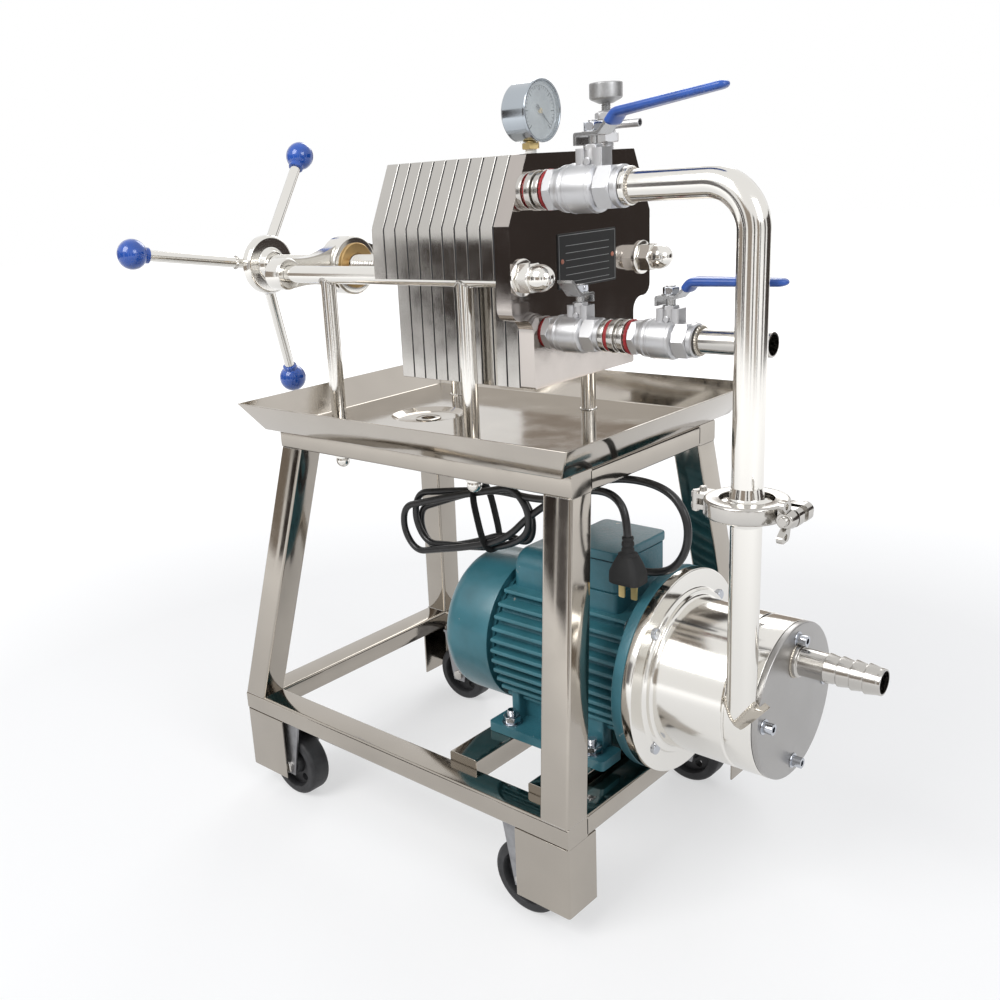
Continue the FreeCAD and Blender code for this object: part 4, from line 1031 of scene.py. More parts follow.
@dataclass
class Castors:
    """Four fixed castors: pressed fork, webbed disc wheel and solid black tread."""

    radius: float = 37.5
    width: float = 26.0
    bore: float = 4.05
    places: tuple[tuple[str, float, float], ...] = (
        ("front_left", -182.0, -158.0), ("front_right", 164.0, -158.0),
        ("rear_right", 164.0, 144.0), ("rear_left", -182.0, 144.0))

    def wheel(self, x: float, y: float) -> Shell:
        """Tread, web with five holes, and hub, all turned round Y.

        Args:
            x: wheel middle.
            y: wheel middle.

        Returns:
            The shell.
        """
        w, r = self.width / 2, self.radius
        c = (x, y, r)
        edge = rounded([(-w, 27.5), (-w, r), (w, r), (w, 27.5)], [0, 5.0, 5.0, 0], 7)
        tread = lathe(np.vstack([edge, [(w - 1.5, 26.4), (5, 25.5), (-5, 25.5), (-w + 1.5, 26.4)]]), c,
                      Axis.Y, 120, ring=True)
        hub = lathe([(-w, self.bore), (-w, 9.4), (-w + 0.6, 10), (-w + 6, 11.6), (-5, 12.6), (5, 12.6),
                     (w - 6, 11.6), (w - 0.6, 10), (w, 9.4), (w, self.bore)], c, Axis.Y, 64, ring=True)
        holes = [circle(r + 19.3 * math.sin(a), x + 19.3 * math.cos(a), 4.6, 24)
                 for a in (TAU * k / 5 + 0.3 for k in range(5))]
        web = prism(circle(r, x, 26.2, 72), y - 5.0, y + 5.0, Axis.Y, [circle(r, x, 12.0, 48)] + holes)
        return tread.join(hub, web)

    def build(self) -> None:
        """Make the wheels, their forks and axle bolts."""
        for name, x, y in self.places:
            self.wheel(x, y).piece(f"castor_{name}", Finishes.RUBBER, f"wheel_{name}_body",
                                   replaces=(f"wheel_{name}",))
        cad_copy("caster_forks", "castor_forks", Finishes.ZINC, bevel=0.6)
        caps = Shell()
        for _, x, y in self.places:
            for s in (-1, 1):
                base = y + s * (self.width / 2 + 4.4) - (0 if s > 0 else 3.6)
                caps.join(nut((x, base, self.radius), Axis.Y, 12.0, 3.6))
        caps.piece("castor_bolts", Finishes.TURNED)


@dataclass
class Tray:
    """Drip tray of mirror sheet: flat floor, sides sloping outwards, dished drain."""

    half_x: float = 220.0
    half_y: float = 165.0
    rim: float = 466.0
    floor: float = 436.5
    sheet: float = 1.5
    slope: float = 20.0
    dish: tuple[float, float] = (-84.0, -6.0)
    dish_r: float = 41.0
    drain_r: float = 9.0
    posts: tuple[float, float] = (-130.0, 59.0)
    post_y: float = 97.0
    post_r: float = 8.3

    def walls(self) -> Shell:
        """Sheet section carried round the four mitred sides.

        Each point of the section is a distance in from the rim and a height, and its loop is the
        rim's rectangle drawn in by that distance.

        Returns:
            The shell.
        """
        k, s = self.sheet * 1.25, self.slope
        low = self.floor - self.sheet
        inner = rounded([(s + k + 8.0, self.floor), (s + k, self.floor), (k, self.rim)], [0, 2.0, 0], 5)
        lip = rounded([(k, self.rim), (0.0, self.rim), (s, low), (s + k + 8.0, low)],
                      [0.4, 0.5, 2.6, 0], 5)
        section = np.vstack([inner[:-1], lip])
        loops = []
        for inset, z in section:
            x, y = self.half_x - inset, self.half_y - inset
            flat = rounded([(-x, -y), (x, -y), (x, y), (-x, y)], 1.6, 3, closed=True)
            loops.append(np.column_stack([flat, np.full(len(flat), z)]))
        return Shell().grid(np.stack(loops)[::-1], wrap_u=True, wrap_v=True)

    def bottom(self) -> Shell:
        """Flat floor with the holes for the dish and the posts."""
        inset = self.slope + self.sheet * 1.25 + 8.0
        x, y = self.half_x - inset, self.half_y - inset
        edge = rounded([(-x, -y), (x, -y), (x, y), (-x, y)], 1.6, 3, closed=True)
        holes = [circle(*self.dish, self.dish_r, 96)]
        holes += [circle(px, sy * self.post_y, self.post_r, 40) for px in self.posts for sy in (-1, 1)]
        return prism(edge, self.floor - self.sheet, self.floor, Axis.Z, holes)

    def drain(self) -> Shell:
        """Pressed dish round the drain, and the strainer rim in its middle.

        Returns:
            The shell.
        """
        r, d, t = self.dish_r, 4.0, self.sheet
        top = rounded([(0.0, r), (-d, r - 6.6), (-d - 1, self.drain_r)], [0, 3.0, 0], 6)
        under = rounded([(-d - 1 - t, self.drain_r), (-d - t, r - 6.0), (-t, r)], [0, 3.0, 0], 6)
        dish = lathe(np.vstack([under, top]), (*self.dish, self.floor), Axis.Z, 96, ring=True)
        rim = lathe([(-8.5, self.drain_r - 1.4), (-8.5, self.drain_r + 0.4), (-5.2, self.drain_r + 0.4),
                     (-4.6, self.drain_r + 5.2), (-3.9, self.drain_r + 5.2), (-3.6, self.drain_r + 4.4),
                     (-3.9, self.drain_r - 1.0)], (*self.dish, self.floor), Axis.Z, 64, ring=True)
        return dish.join(rim)

    def build(self) -> None:
        """Make the tray."""
        self.walls().join(self.bottom(), self.drain()).piece(
            "tray_shell", Finishes.TRAY, sharp=38.0, replaces=("drip_tray",))
        rings = Shell()
        for px in self.posts:
            for sy in (-1, 1):
                rings.join(weld(ring_path((px, sy * self.post_y, self.floor + 0.4), Axis.Z, 8.6),
                                1.0, True))
        rings.piece("tray_post_welds", Finishes.TURNED)


# ------------------------------------------------------------------ press
@dataclass
class PressFrame:
    """Guide rods, posts, fixed head, yoke and the nuts that hold them."""

    rod_y: float = 97.0
    rod_z: float = 598.0
    rod_r: float = 9.0
    post_r: float = 8.0
    posts: tuple[float, float] = (-130.0, 59.0)
    post_low: float = 403.0
    head_x: float = 126.0
    head_t: float = 17.0
    yoke_x: float = -191.0
    yoke_t: float = 23.0
    boss_r: float = 33.0
    end_r: float = 17.0
    bush_r: float = 20.0

    def rods(self) -> Shell:
        """The two guide rods with chamfered ends."""
        out = Shell()
        x0, x1 = self.yoke_x - self.yoke_t - 1.0, self.head_x + 8.0
        for sy in (-1, 1):
            out.join(lathe([(x0, self.rod_r - 1), (x0 + 1, self.rod_r), (x1, self.rod_r)],
                           (0, sy * self.rod_y, self.rod_z), Axis.X, 72))
        return out

    def legs(self) -> Shell:
        """Four posts under the rods."""
        out = Shell()
        for x in self.posts:
            for sy in (-1, 1):
                out.join(lathe([(self.post_low, self.post_r), (self.rod_z - 4.0, self.post_r)],
                               (x, sy * self.rod_y, 0), Axis.Z, 64))
        return out

    def saddles(self) -> Shell:
        """Welds where each post meets its rod.

        A point at angle t round the post lies on the rod where its height under the rod's axis is
        the root of the rod's radius squared less the post's sideways distance squared.

        Returns:
            The shell.
        """
        out = Shell()
        t = np.linspace(0.0, TAU, 60, endpoint=False)
        r = self.post_r + 0.25
        across = r * np.sin(t)
        z = self.rod_z - np.sqrt(np.maximum(self.rod_r ** 2 - across ** 2, 4.0))
        for x in self.posts:
            for sy in (-1, 1):
                path = np.stack([x + r * np.cos(t), sy * self.rod_y + across, z], -1)
                out.join(weld(path, 1.5, True, 2.4))
        return out

    def head(self) -> Shell:
        """Fixed head: chamfered top, ears that curl into the narrow foot, drilled for the ports.

        Returns:
            The shell.
        """
        right = [(82.0, 495.0), (82.0, 560.0), (112.5, 560.0), (112.5, 643.0), (84.5, 702.0)]
        pts = right + [(-a, b) for a, b in reversed(right)]
        one = [2.0, 14.0, 12.0, 2.5, 2.0]
        loop = rounded(pts, one + one[::-1], 9, closed=True)
        holes = [circle(-86.0, 671.0, 8.0, 32), circle(-61.0, 545.2, 8.0, 32)]
        return prism(loop, self.head_x - self.head_t, self.head_x, Axis.X, holes)

    def yoke(self) -> Shell:
        """Cross-beam: turned boss and ends, webs that thin out between them.

        The web's half height is 13 plus 11 times (1 - t) to the power 2.4 plus 3 times t cubed, t
        running from the boss to the end.

        Returns:
            The shell.
        """
        x1, x0 = self.yoke_x, self.yoke_x - self.yoke_t
        c = (0.0, 0.0, self.rod_z)
        boss = rounded([(x0 - 2, self.bush_r + 0.3), (x0 - 2, self.boss_r), (x1 + 2, self.boss_r),
                        (x1 + 2, self.bush_r + 0.3)], [0, 3.0, 3.0, 0], 6)
        out = lathe(boss, c, Axis.X, 120, ring=True)
        for sy in (-1, 1):
            end = rounded([(x0, self.rod_r + 0.3), (x0, self.end_r), (x1, self.end_r),
                           (x1, self.rod_r + 0.3)], [0, 2.5, 2.5, 0], 6)
            out.join(lathe(end, (0.0, sy * self.rod_y, self.rod_z), Axis.X, 72, ring=True))
        t = np.linspace(0.0, 1.0, 28)
        y = 24.0 + (self.rod_y - 32.0) * t
        h = 13.0 + 11.0 * (1 - t) ** 2.4 + 3.0 * t ** 3
        section = rounded([(x0 + 3, -1.0), (x1 - 3, -1.0), (x1 - 3, 1.0), (x0 + 3, 1.0)], 0.16, 4, True)
        for sy in (-1, 1):
            pts = np.zeros((len(t), len(section), 3))
            pts[..., 0] = section[:, 0]
            pts[..., 1] = sy * y[:, None]
            pts[..., 2] = self.rod_z + section[:, 1] * h[:, None]
            out.join(Shell().grid(pts, wrap_v=True, cap_start=True, cap_end=True).outward())
        return out

    def build(self) -> None:
        """Make the fixed pieces of the press."""
        self.rods().piece("rods", Finishes.POLISHED, replaces=("guide_rods",))
        self.legs().piece("rod_posts", Finishes.POLISHED, replaces=("posts",))
        self.saddles().piece("rod_post_welds", Finishes.TURNED)
        nuts = Shell()
        for sy in (-1, 1):
            nuts.join(dome_nut((self.head_x, sy * self.rod_y, self.rod_z), Axis.X, 25.0, 32.0))
            for x in self.posts:
                nuts.join(dome_nut((x, sy * self.rod_y, 411.7), Axis.Z, 16.0, 19.0, -1.0))
        nuts.piece("dome_nuts", Finishes.POLISHED, replaces=("acorn_nuts",))
        self.head().piece("head_plate", Finishes.HEAD, bevel=0.9, replaces=("fixed_head",))
        self.yoke().piece("yoke_beam", Finishes.POLISHED, replaces=("yoke",))
        x0 = self.yoke_x - self.yoke_t - 2.0
        lathe([(x0, 12.4), (x0, 18.8), (x0 + 0.8, self.bush_r), (self.yoke_x + 2.3, self.bush_r),
               (self.yoke_x + 2.3, 24.2), (self.yoke_x + 3.0, 25.0), (self.yoke_x + 4.6, 25.0),
               (self.yoke_x + 5.3, 24.2), (self.yoke_x + 5.3, 14.0), (self.yoke_x + 4.4, 12.6)],
              (0, 0, self.rod_z), Axis.X, 96, ring=True).piece(
                  "screw_nut_ring", Finishes.BRONZE, replaces=("screw_nut",))


@dataclass
class Leaves:
    """Nine filter plates, black sheets in the gaps that paint the shade between them, and the movable head
    that squeezes them.
    """

    count: int = 9
    thick: float = 13.3
    gap: float = 1.75
    head_x: float = 109.0
    move_t: float = 15.5
    rod_y: float = 97.0
    rod_z: float = 598.0
    notch: float = 9.3

    def outline(self, inset: float = 0.0) -> np.ndarray:
        """Outline seen along X: chamfered top, hooked ears over the rods, narrow foot.

        Args:
            inset: how far it is drawn in.

        Returns:
            (n, 2) loop of y and z.
        """
        k = inset
        arc = circle(self.rod_y, self.rod_z, self.notch + k, 17, math.pi, 0.0)
        right = [(82.0 - k, 495.0 + k), (82.0 - k, 597.2 + k), (self.rod_y - self.notch - k, 597.2 + k)]
        right += [tuple(p) for p in arc[1:-1]]
        right += [(self.rod_y + self.notch + k, 596.2 + k), (112.5 - k, 596.2 + k),
                  (112.5 - k, 643.0 - 0.4 * k), (84.5 - 0.6 * k, 702.0 - k)]
        return np.array(right + [(-a, b) for a, b in reversed(right)])

    def build(self) -> None:
        """Make the plates, the black sheets that paint the shade in the gaps between them, and the movable
        head.
        """
        x = self.head_x
        for k in range(1, self.count + 1):
            x -= self.gap + self.thick
            prism(self.outline(), x, x + self.thick, Axis.X).piece(
                f"leaf_plate_{k}", Finishes.PLATE, f"leaf_{k}", bevel=0.4, replaces=(f"plate_{k}",))
            # black sheet filling the gap after each plate: painted shade standing in for the shade between
            # the plates
            prism(self.outline(0.45), x + self.thick - 0.5, x + self.thick + self.gap - 0.3,
                  Axis.X).piece(f"leaf_gap_shade_{k}", Finishes.SEAL_AND_GAP_SHADE, f"leaf_{k}")
        x1 = x - self.gap
        x0 = x1 - self.move_t
        body = prism(self.outline(), x0, x1, Axis.X)
        collar = rounded([(x0 + 1.0, 12.6), (x0 + 1.0, 25.0), (x0 - 16.0, 25.0), (x0 - 16.0, 12.6)],
                         [0, 0, 2.0, 0.6], 5)
        body.join(lathe(collar[::-1], (0, 0, self.rod_z), Axis.X, 96, ring=True))
        body.piece("follower_plate", Finishes.PLATE, "follower", bevel=0.55,
                   replaces=("movable_head",))
        # black sheet in the gap before the movable head: painted shade standing in for the shade there
        prism(self.outline(0.45), x1 - 0.5, x1 + self.gap - 0.3, Axis.X).piece(
            "follower_gap_shade", Finishes.SEAL_AND_GAP_SHADE, "follower")
        weld(ring_path((x0 - 0.2, 0, self.rod_z), Axis.X, 25.6), 1.5, True).piece(
            "follower_weld", Finishes.TURNED, "follower")


@dataclass
class Handwheel:
    """Press screw with its hub, three raked spokes and blue balls."""

    axis_z: float = 598.0
    hub_x: float = -334.0
    screw_r: float = 12.0
    nose_x: float = -36.0
    ball_x: float = -391.0
    reach: float = 165.0
    start: float = 170.5
    spoke_r: float = 6.5
    ball_r: float = 17.5

    def spokes(self) -> list[tuple[np.ndarray, np.ndarray]]:
        """Root and tip of each spoke."""
        out = []
        for k in range(3):
            a = math.radians(self.start + 120 * k)
            way = np.array([0.0, math.cos(a), math.sin(a)])
            mid = np.array([0.0, 0.0, self.axis_z])
            out.append((mid + way * 8 + [self.hub_x - 26, 0, 0],
                        mid + way * self.reach + [self.ball_x, 0, 0]))
        return out

    def ball(self) -> np.ndarray:
        """Section of a ball and its neck, measured from the ball's middle.

        The ball's point at angle t is minus radius times cosine t along, radius times sine t out.

        Returns:
            (n, 2) pairs of along and radius, the neck first.
        """
        r = self.ball_r
        meet = math.asin(9.3 / r)
        t = np.linspace(meet, math.pi, 28)
        neck = [(-r - 2.2, 6.6), (-r - 2.2, 8.6), (-r - 1.6, 9.2), (-r * math.cos(meet) - 1.2, 9.3)]
        return np.array(neck + [(-r * math.cos(a), r * math.sin(a)) for a in t[:-1]] + [(r, 0.0)])

    def build(self) -> None:
        """Make the screw, hub, spokes and balls."""
        c = (0.0, 0.0, self.axis_z)
        body = thread(self.hub_x + 1.0, self.nose_x - 9.0, c, Axis.X, self.screw_r, 1.7, 4.0)
        body.join(lathe([(self.nose_x - 9.5, 10.4), (self.nose_x - 0.6, 10.4), (self.nose_x, 9.8)], c))
        h = self.hub_x
        hub = rounded([(h - 36, 0.0), (h - 36, 17.0), (h - 22, 22.0), (h - 20, 35.5), (h - 6, 35.5),
                       (h - 6, 20.0), (h, 16.0), (h, 0.0)], [0, 2.0, 3.0, 4.0, 4.0, 3.0, 1.5, 0], 6)
        body.join(lathe(hub, c, Axis.X, 120))
        for root, tip in self.spokes():
            way = tip - root
            run = float(np.linalg.norm(way))
            body.join(aimed(lathe([(0, self.spoke_r), (run - self.ball_r + 4, self.spoke_r)],
                                  (0, 0, 0), Axis.X, 40), tuple(root), tuple(way)))
        body.piece("screw_and_hub", Finishes.POLISHED, "screw", replaces=("press_screw",))
        balls, welds = Shell(), Shell()
        for root, tip in self.spokes():
            balls.join(aimed(lathe(self.ball(), (0, 0, 0), Axis.X, 56), tuple(tip),
                             tuple(tip - root)))
        balls.piece("spoke_balls", Finishes.BALL, "screw", replaces=("handwheel_balls",))
        for root, tip in self.spokes():
            way = (tip - root) / np.linalg.norm(tip - root)
            seat = root + way * 28.5
            ring = aimed(Shell(ring_path((0, 0, 0), Axis.X, self.spoke_r + 0.6, 40), []),
                         tuple(seat), tuple(way)).verts
            welds.join(weld(ring, 1.3, True))
        welds.piece("spoke_welds", Finishes.TURNED, "screw")


# ------------------------------------------------------------------ trims on the head
@dataclass
class Nameplate:
    """Blank black plate with ruled lines and two copper rivets."""

    x: float = 126.0
    y: tuple[float, float] = (-44.0, 50.0)
    z: tuple[float, float] = (581.0, 631.0)
    rows: int = 5

    def line(self, y0: float, y1: float, z0: float, z1: float) -> Shell:
        """One thin raised line."""
        return prism(np.array([(y0, z0), (y1, z0), (y1, z1), (y0, z1)]), self.x + 0.9, self.x + 1.08)

    def build(self) -> None:
        """Make the plate, its rules and its rivets."""
        (y0, y1), (z0, z1) = self.y, self.z
        rounded_box((self.x, self.x + 1.0), self.y, self.z, Axis.X, 1.5).piece(
            "maker_plate", Finishes.BLACK, bevel=0.2, replaces=("nameplate",))
        rules = Shell()
        e, w = 1.6, 0.5
        for a, b, c, d in ((y0 + e, y1 - e, z1 - e - w, z1 - e), (y0 + e, y1 - e, z0 + e, z0 + e + w),
                           (y0 + e, y0 + e + w, z0 + e, z1 - e), (y1 - e - w, y1 - e, z0 + e, z1 - e)):
            rules.join(self.line(a, b, c, d))
        step = (z1 - z0 - 17.0) / self.rows
        for k in range(self.rows + 1):
            z = z1 - 11.5 - step * k
            rules.join(self.line(y0 + 12, y1 - 12, z, z + 0.45))
        rules.piece("plate_rules", Finishes.RULE)
        rivets = Shell()
        for y in (y0 + 6.5, y1 - 6.5):
            dome = [(0.9, 2.3), (1.5, 2.1), (2.0, 1.4), (2.2, 0.0)]
            rivets.join(lathe(dome, (self.x, y, 0.5 * (z0 + z1)), Axis.X, 24))
        rivets.piece("plate_rivets", Finishes.COPPER)


@dataclass
class Gauge:
    """Pressure gauge: rounded case, bright bezel, printed dial, needle, window and stem."""

    x: float = 103.0
    y: float = -67.0
    z: float = 736.5
    stem_x: float = 117.5
    head_top: float = 702.0

    def marks(self) -> Shell:
        """Scale marks over three quarters of a turn, every fifth one longer.

        Returns:
            The shell.
        """
        out = Shell()
        for k in range(31):
            a = math.radians(225.0 - 9.0 * k)
            long = k % 5 == 0
            r0, r1, w = (16.6 if long else 18.2), 20.6, (0.42 if long else 0.2)
            u = np.array([-math.cos(a), math.sin(a)])
            v = np.array([-u[1], u[0]])
            mid = np.array([self.y, self.z])
            loop = np.array([mid + u * r0 - v * w, mid + u * r1 - v * w, mid + u * r1 + v * w,
                             mid + u * r0 + v * w])
            out.join(prism(loop, self.x + 25.2, self.x + 25.42))
        arc = circle(0, 0, 1.0, 61, math.radians(-45.0), math.radians(225.0))
        band = np.vstack([arc * 20.9, arc[::-1] * 20.6]) + [self.y, self.z]
        return out.join(prism(band, self.x + 25.2, self.x + 25.4))

    def needle(self) -> Shell:
        """Tapered pointer resting on the scale's lower end, with its counterweight."""
        a = math.radians(222.0)
        u = np.array([math.cos(a), math.sin(a)]) * [-1, 1]
        v = np.array([-u[1], u[0]])
        mid = np.array([self.y, self.z])
        pts = [mid + u * 17.5, mid + u * 3 + v * 0.9, mid - u * 6.5 + v * 1.5, mid - u * 6.5 - v * 1.5,
               mid + u * 3 - v * 0.9]
        return prism(np.array(pts), self.x + 26.1, self.x + 26.5)

    def build(self) -> None:
        """Make the gauge."""
        c = (self.x, self.y, self.z)
        case = rounded([(0.0, 0.0), (0.0, 22.0), (3.0, 25.0), (26.0, 25.0), (26.0, 26.2), (29.0, 26.2),
                        (29.0, 24.6), (25.0, 23.9), (25.0, 0.0)],
                       [0, 2.5, 2.5, 0.2, 0.6, 0.9, 0.7, 0.5, 0], 5)
        lathe(case, c, Axis.X, 120).piece("gauge_shell", Finishes.GAUGE, replaces=("gauge_case",))
        lathe([(24.9, 0.0), (24.9, 23.6), (25.2, 23.6), (25.2, 0.0)], c, Axis.X, 96).piece(
            "gauge_dial", Finishes.DIAL)
        self.marks().piece("gauge_marks", Finishes.INK)
        self.needle().piece("gauge_needle", Finishes.INK)
        lathe([(25.2, 0.0), (25.2, 2.2), (26.9, 2.2), (27.2, 1.6), (27.2, 0.0)], c, Axis.X, 32).piece(
            "gauge_hub", Finishes.BRASS)
        lathe([(27.4, 0.0), (27.4, 24.1), (28.4, 24.1), (28.6, 20.0), (28.8, 0.0)], c, Axis.X,
              96).piece("gauge_window", Finishes.GLASS, replaces=("gauge_glass",))
        stem = (self.stem_x, self.y, 0.0)
        top = self.head_top
        nut((self.stem_x, self.y, top + 3.5), Axis.Z, 14.0, 5.6).join(
            lathe([(top + 8.8, 4.6), (top + 11.5, 4.6)], stem, Axis.Z, 32)).piece(
                "gauge_brass", Finishes.BRASS, replaces=("gauge_fitting",))
        thread(top - 1.0, top + 3.7, stem, Axis.Z, 5.2, 0.5, 1.3, 40).piece(
            "gauge_tape", Finishes.WHITE)


@dataclass
class Vent:
    """Needle vent: threaded body, two hexagons, side tube and round knob."""

    x: float = 117.5
    y: float = 50.0
    top: float = 702.0

    def build(self) -> None:
        """Make the vent's body and its knob."""
        x, y, z = self.x, self.y, self.top
        c = (x, y, z)
        body = thread(-1.0, 7.2, c, Axis.Z, 7.0, 0.6, 1.6, 48)
        body.join(nut((x, y, z + 6.5), Axis.Z, 22.0, 9.0),
                  lathe([(15.0, 10.2), (16.0, 8.9), (17.0, 8.5), (27.2, 8.5)], c, Axis.Z, 64),
                  nut((x, y, z + 27.0), Axis.Z, 19.0, 7.0, 0.4),
                  lathe([(33.9, 7.8), (35.0, 7.0), (35.0, 4.8)], c, Axis.Z, 48))
        tube = rounded([(7.0, 2.6), (7.0, 3.9), (37.0, 3.9), (37.0, 2.6)], [0, 0, 0.5, 0.5], 3)
        body.join(lathe(tube, (x, y, z + 22.0), Axis.X, 40, ring=True))
        body.piece("vent_fitting", Finishes.CAST, replaces=("vent_body",))
        knob = rounded([(41.5, 0.0), (41.5, 6.5), (45.0, 14.0), (46.5, 15.5), (59.5, 15.5),
                        (60.2, 14.4), (60.2, 0.0)], [0, 1.0, 2.5, 1.5, 1.2, 0.6, 0], 5)
        stem = thread(30.0, 42.0, c, Axis.Z, 4.5, 0.7, 1.5, 40)
        lathe(knob, c, Axis.Z, 96).join(stem).piece("vent_handle", Finishes.KNOB, "vent_spindle",
                                                    replaces=("vent_knob",))


# ------------------------------------------------------------------ pipework
@dataclass
class Valve:
    """Two-piece ball valve with its handle, built about its stem."""

    name: str
    x: float
    y: float
    z: float
    handle: str
    k: float = 1.0
    reach: float = 25.0
    turn: float = 0.0
    grip: float = 0.0
    rise: float = 0.0
    left: float = 35.5
    right: float = 26.2
    radius: float = 17.0
    bore: float = 8.0
    plate: float = 2.6

    def body(self) -> Shell:
        """Turned body with fine steps, two hexagons, stem block, gland and stop lug.

        Returns:
            The shell.
        """
        k, r, y, z = self.k, self.k * self.radius, self.y, self.z
        x0, x1 = self.x - k * self.left, self.x + k * self.right
        n = (x1 - x0) / k
        steps = [(0, .72), (.6, .80), (8.5, .80), (8.9, .86), (12.0, .875), (12.2, .93), (12.6, .945),
                 (15.3, .96), (15.7, .925), (16.1, .915), (18.8, .92), (19.0, .97), (19.8, 1.0),
                 (40.2, 1.0), (41.2, .985), (42.2, .9), (43.0, .80), (57.0, .80), (57.2, .84),
                 (n - 1.0, .84), (n, .76)]
        pairs = [(x0 + k * a, r * b) for a, b in steps]
        out = lathe(pairs + [(x1, self.bore), (x0, self.bore)], (0, y, z), Axis.X, 96, ring=True)
        out.join(nut((x0 + 0.5 * k, y, z), Axis.X, 1.62 * r, 8.0 * k),
                 nut((x0 + 43.0 * k, y, z), Axis.X, 1.66 * r, 14.0 * k))
        out.join(rounded_box((self.x - 10.5 * k, self.x - 3.5 * k), (y - 7 * k, y + 7 * k),
                             (z + 8 * k, z + 26 * k), Axis.Z, 1.6))
        out.join(rounded_box((self.x + 3.5 * k, self.x + 11 * k), (y - 7 * k, y + 7 * k),
                             (z + 8 * k, z + 26 * k), Axis.Z, 1.6))
        out.join(lathe([(z + 8 * k, 6.6 * k), (z + 22 * k, 6.6 * k), (z + 26 * k, 6.2 * k)],
                       (self.x, y, 0), Axis.Z, 48))
        out.join(nut((self.x, y, z + 24.2 * k), Axis.Z, 12.4 * k, 4.4 * k, 0.3))
        lug = [(y - 8.5 * k, 2.0 * k), (y - 8.1 * k, 2.6 * k), (y - 4.5 * k, 2.6 * k)]
        return out.join(lathe(lug, (self.x, 0, z + 17.5 * k), Axis.Y, 28))

    def rings(self) -> Shell:
        """Fine turned lines round the body."""
        k, r = self.k, self.k * self.radius
        out = Shell()
        for a in (21.4, 38.6):
            x = self.x - k * (self.left - a)
            out.join(lathe([(x - 0.5, r - 0.3), (x - 0.25, r + 0.22), (x + 0.25, r + 0.22),
                            (x + 0.5, r - 0.3)], (0, self.y, self.z), Axis.X, 96))
        return out

    def swing(self, shell: Shell) -> Shell:
        """The shell turned with the handle."""
        return shell.turned((0, 0, 1), self.turn, (self.x, self.y, self.z)) if self.turn else shell

    def lever(self) -> Shell:
        """Stem, washer, nut and the cranked arm with its downturned stop.

        Returns:
            The shell.
        """
        k, t, x, y = self.k, self.plate, self.x, self.y
        z0 = self.z + 34.0 * k
        arm = [(-11, -6), (-8.6, -6), (-8.6, 0), (9, 0), (22, 13), (self.reach, 13),
               (self.reach, 13 + t), (20.8, 13 + t), (8, t), (-11, t)]
        loop = np.array([(z0 + k * b, x + k * a) for a, b in arm])
        loop = rounded(loop, [0, 0, .8, 2.5, 2.5, 0, 0, 3.5, 2.5, 2.2], 5, closed=True)
        out = prism(loop, y - 8.0 * k, y + 8.0 * k, Axis.Y)
        out.join(lathe([(self.z + 26.0 * k, 4.0), (z0 + t + 7.6 * k, 4.0), (z0 + t + 8.0 * k, 3.4)],
                       (x, y, 0), Axis.Z, 32))
        out.join(lathe([(z0 + t, 7.8 * k), (z0 + t + 0.9, 7.8 * k), (z0 + t + 0.9, 5.0)], (x, y, 0),
                       Axis.Z, 48))
        return self.swing(out)

    def cap_nut(self) -> Shell:
        """Lock nut on top of the stem."""
        z0 = self.z + 34.0 * self.k + self.plate
        return self.swing(nut((self.x, self.y, z0 + 0.8), Axis.Z, 12.5 * self.k, 6.0 * self.k, 0.2))

    def sleeve(self) -> Shell:
        """Dipped sleeve: a flat oval carried over the crank's bend and out to a round tip.

        The section at angle t has half width w times cosine t to the power 0.6 and half height h
        times sine t to the power 0.8, both signed, and w and h fall off as a quarter circle over
        the last few millimetres.

        Returns:
            The shell.
        """
        k, x, y = self.k, self.x, self.y
        zc = self.z + 47.0 * k + 1.3
        a = np.array([(x + 15.2 * k, zc - 7.2 * k), (x + 20.6 * k, zc - 0.4),
                      (x + 21.0 * k + self.grip + 6.6, zc + self.rise)])
        flat = rounded(a, [0, 6.0 * k, 0], 10)
        run = np.concatenate([[0.0], np.cumsum(np.linalg.norm(np.diff(flat, axis=0), axis=1))])
        total = run[-1]
        s = np.concatenate([np.linspace(0, 2.0, 6), np.linspace(3.0, total - 7, 40),
                            total - 7 * (1 - np.sin(np.linspace(0.1, math.pi / 2, 12)))])
        line = np.stack([np.interp(s, run, flat[:, 0]), np.full(len(s), y),
                         np.interp(s, run, flat[:, 1])], -1)
        frac = s / total
        tip = np.sqrt(np.clip(1.0 - np.clip((s - total + 7) / 7.05, 0, 1) ** 2, 0.0, 1.0))
        root = np.sqrt(np.clip(s / 2.0, 0.0, 1.0)) * 0.25 + 0.75
        wide = (9.3 * k * (1 - frac) + 6.6 * frac) * tip * root
        high = (4.1 * (1 - frac) + 3.2 * frac) * tip * root
        t = np.linspace(0.0, TAU, 40, endpoint=False)
        cos, sin = np.cos(t), np.sin(t)
        shape = np.stack([np.sign(cos) * np.abs(cos) ** 0.6, np.sign(sin) * np.abs(sin) ** 0.8], -1)
        section = shape[None] * np.stack([wide, high], -1)[:, None, :]
        return self.swing(sweep(line, section))

    def build(self) -> None:
        """Make the valve's pieces."""
        name, body = self.name, f"{self.handle}_handle"
        self.body().join(self.rings()).piece(f"{name}_valve_body", Finishes.CAST,
                                             replaces=(f"{name}_valve",))
        self.lever().piece(f"{name}_valve_arm", Finishes.ARM, body, bevel=0.35,
                           replaces=(f"{name}_lever",))
        self.cap_nut().piece(f"{name}_valve_nut", Finishes.NUT, body)
        if self.grip:
            self.sleeve().piece(f"{name}_valve_sleeve", Finishes.GRIP, body,
                                replaces=(f"{name}_grip",))


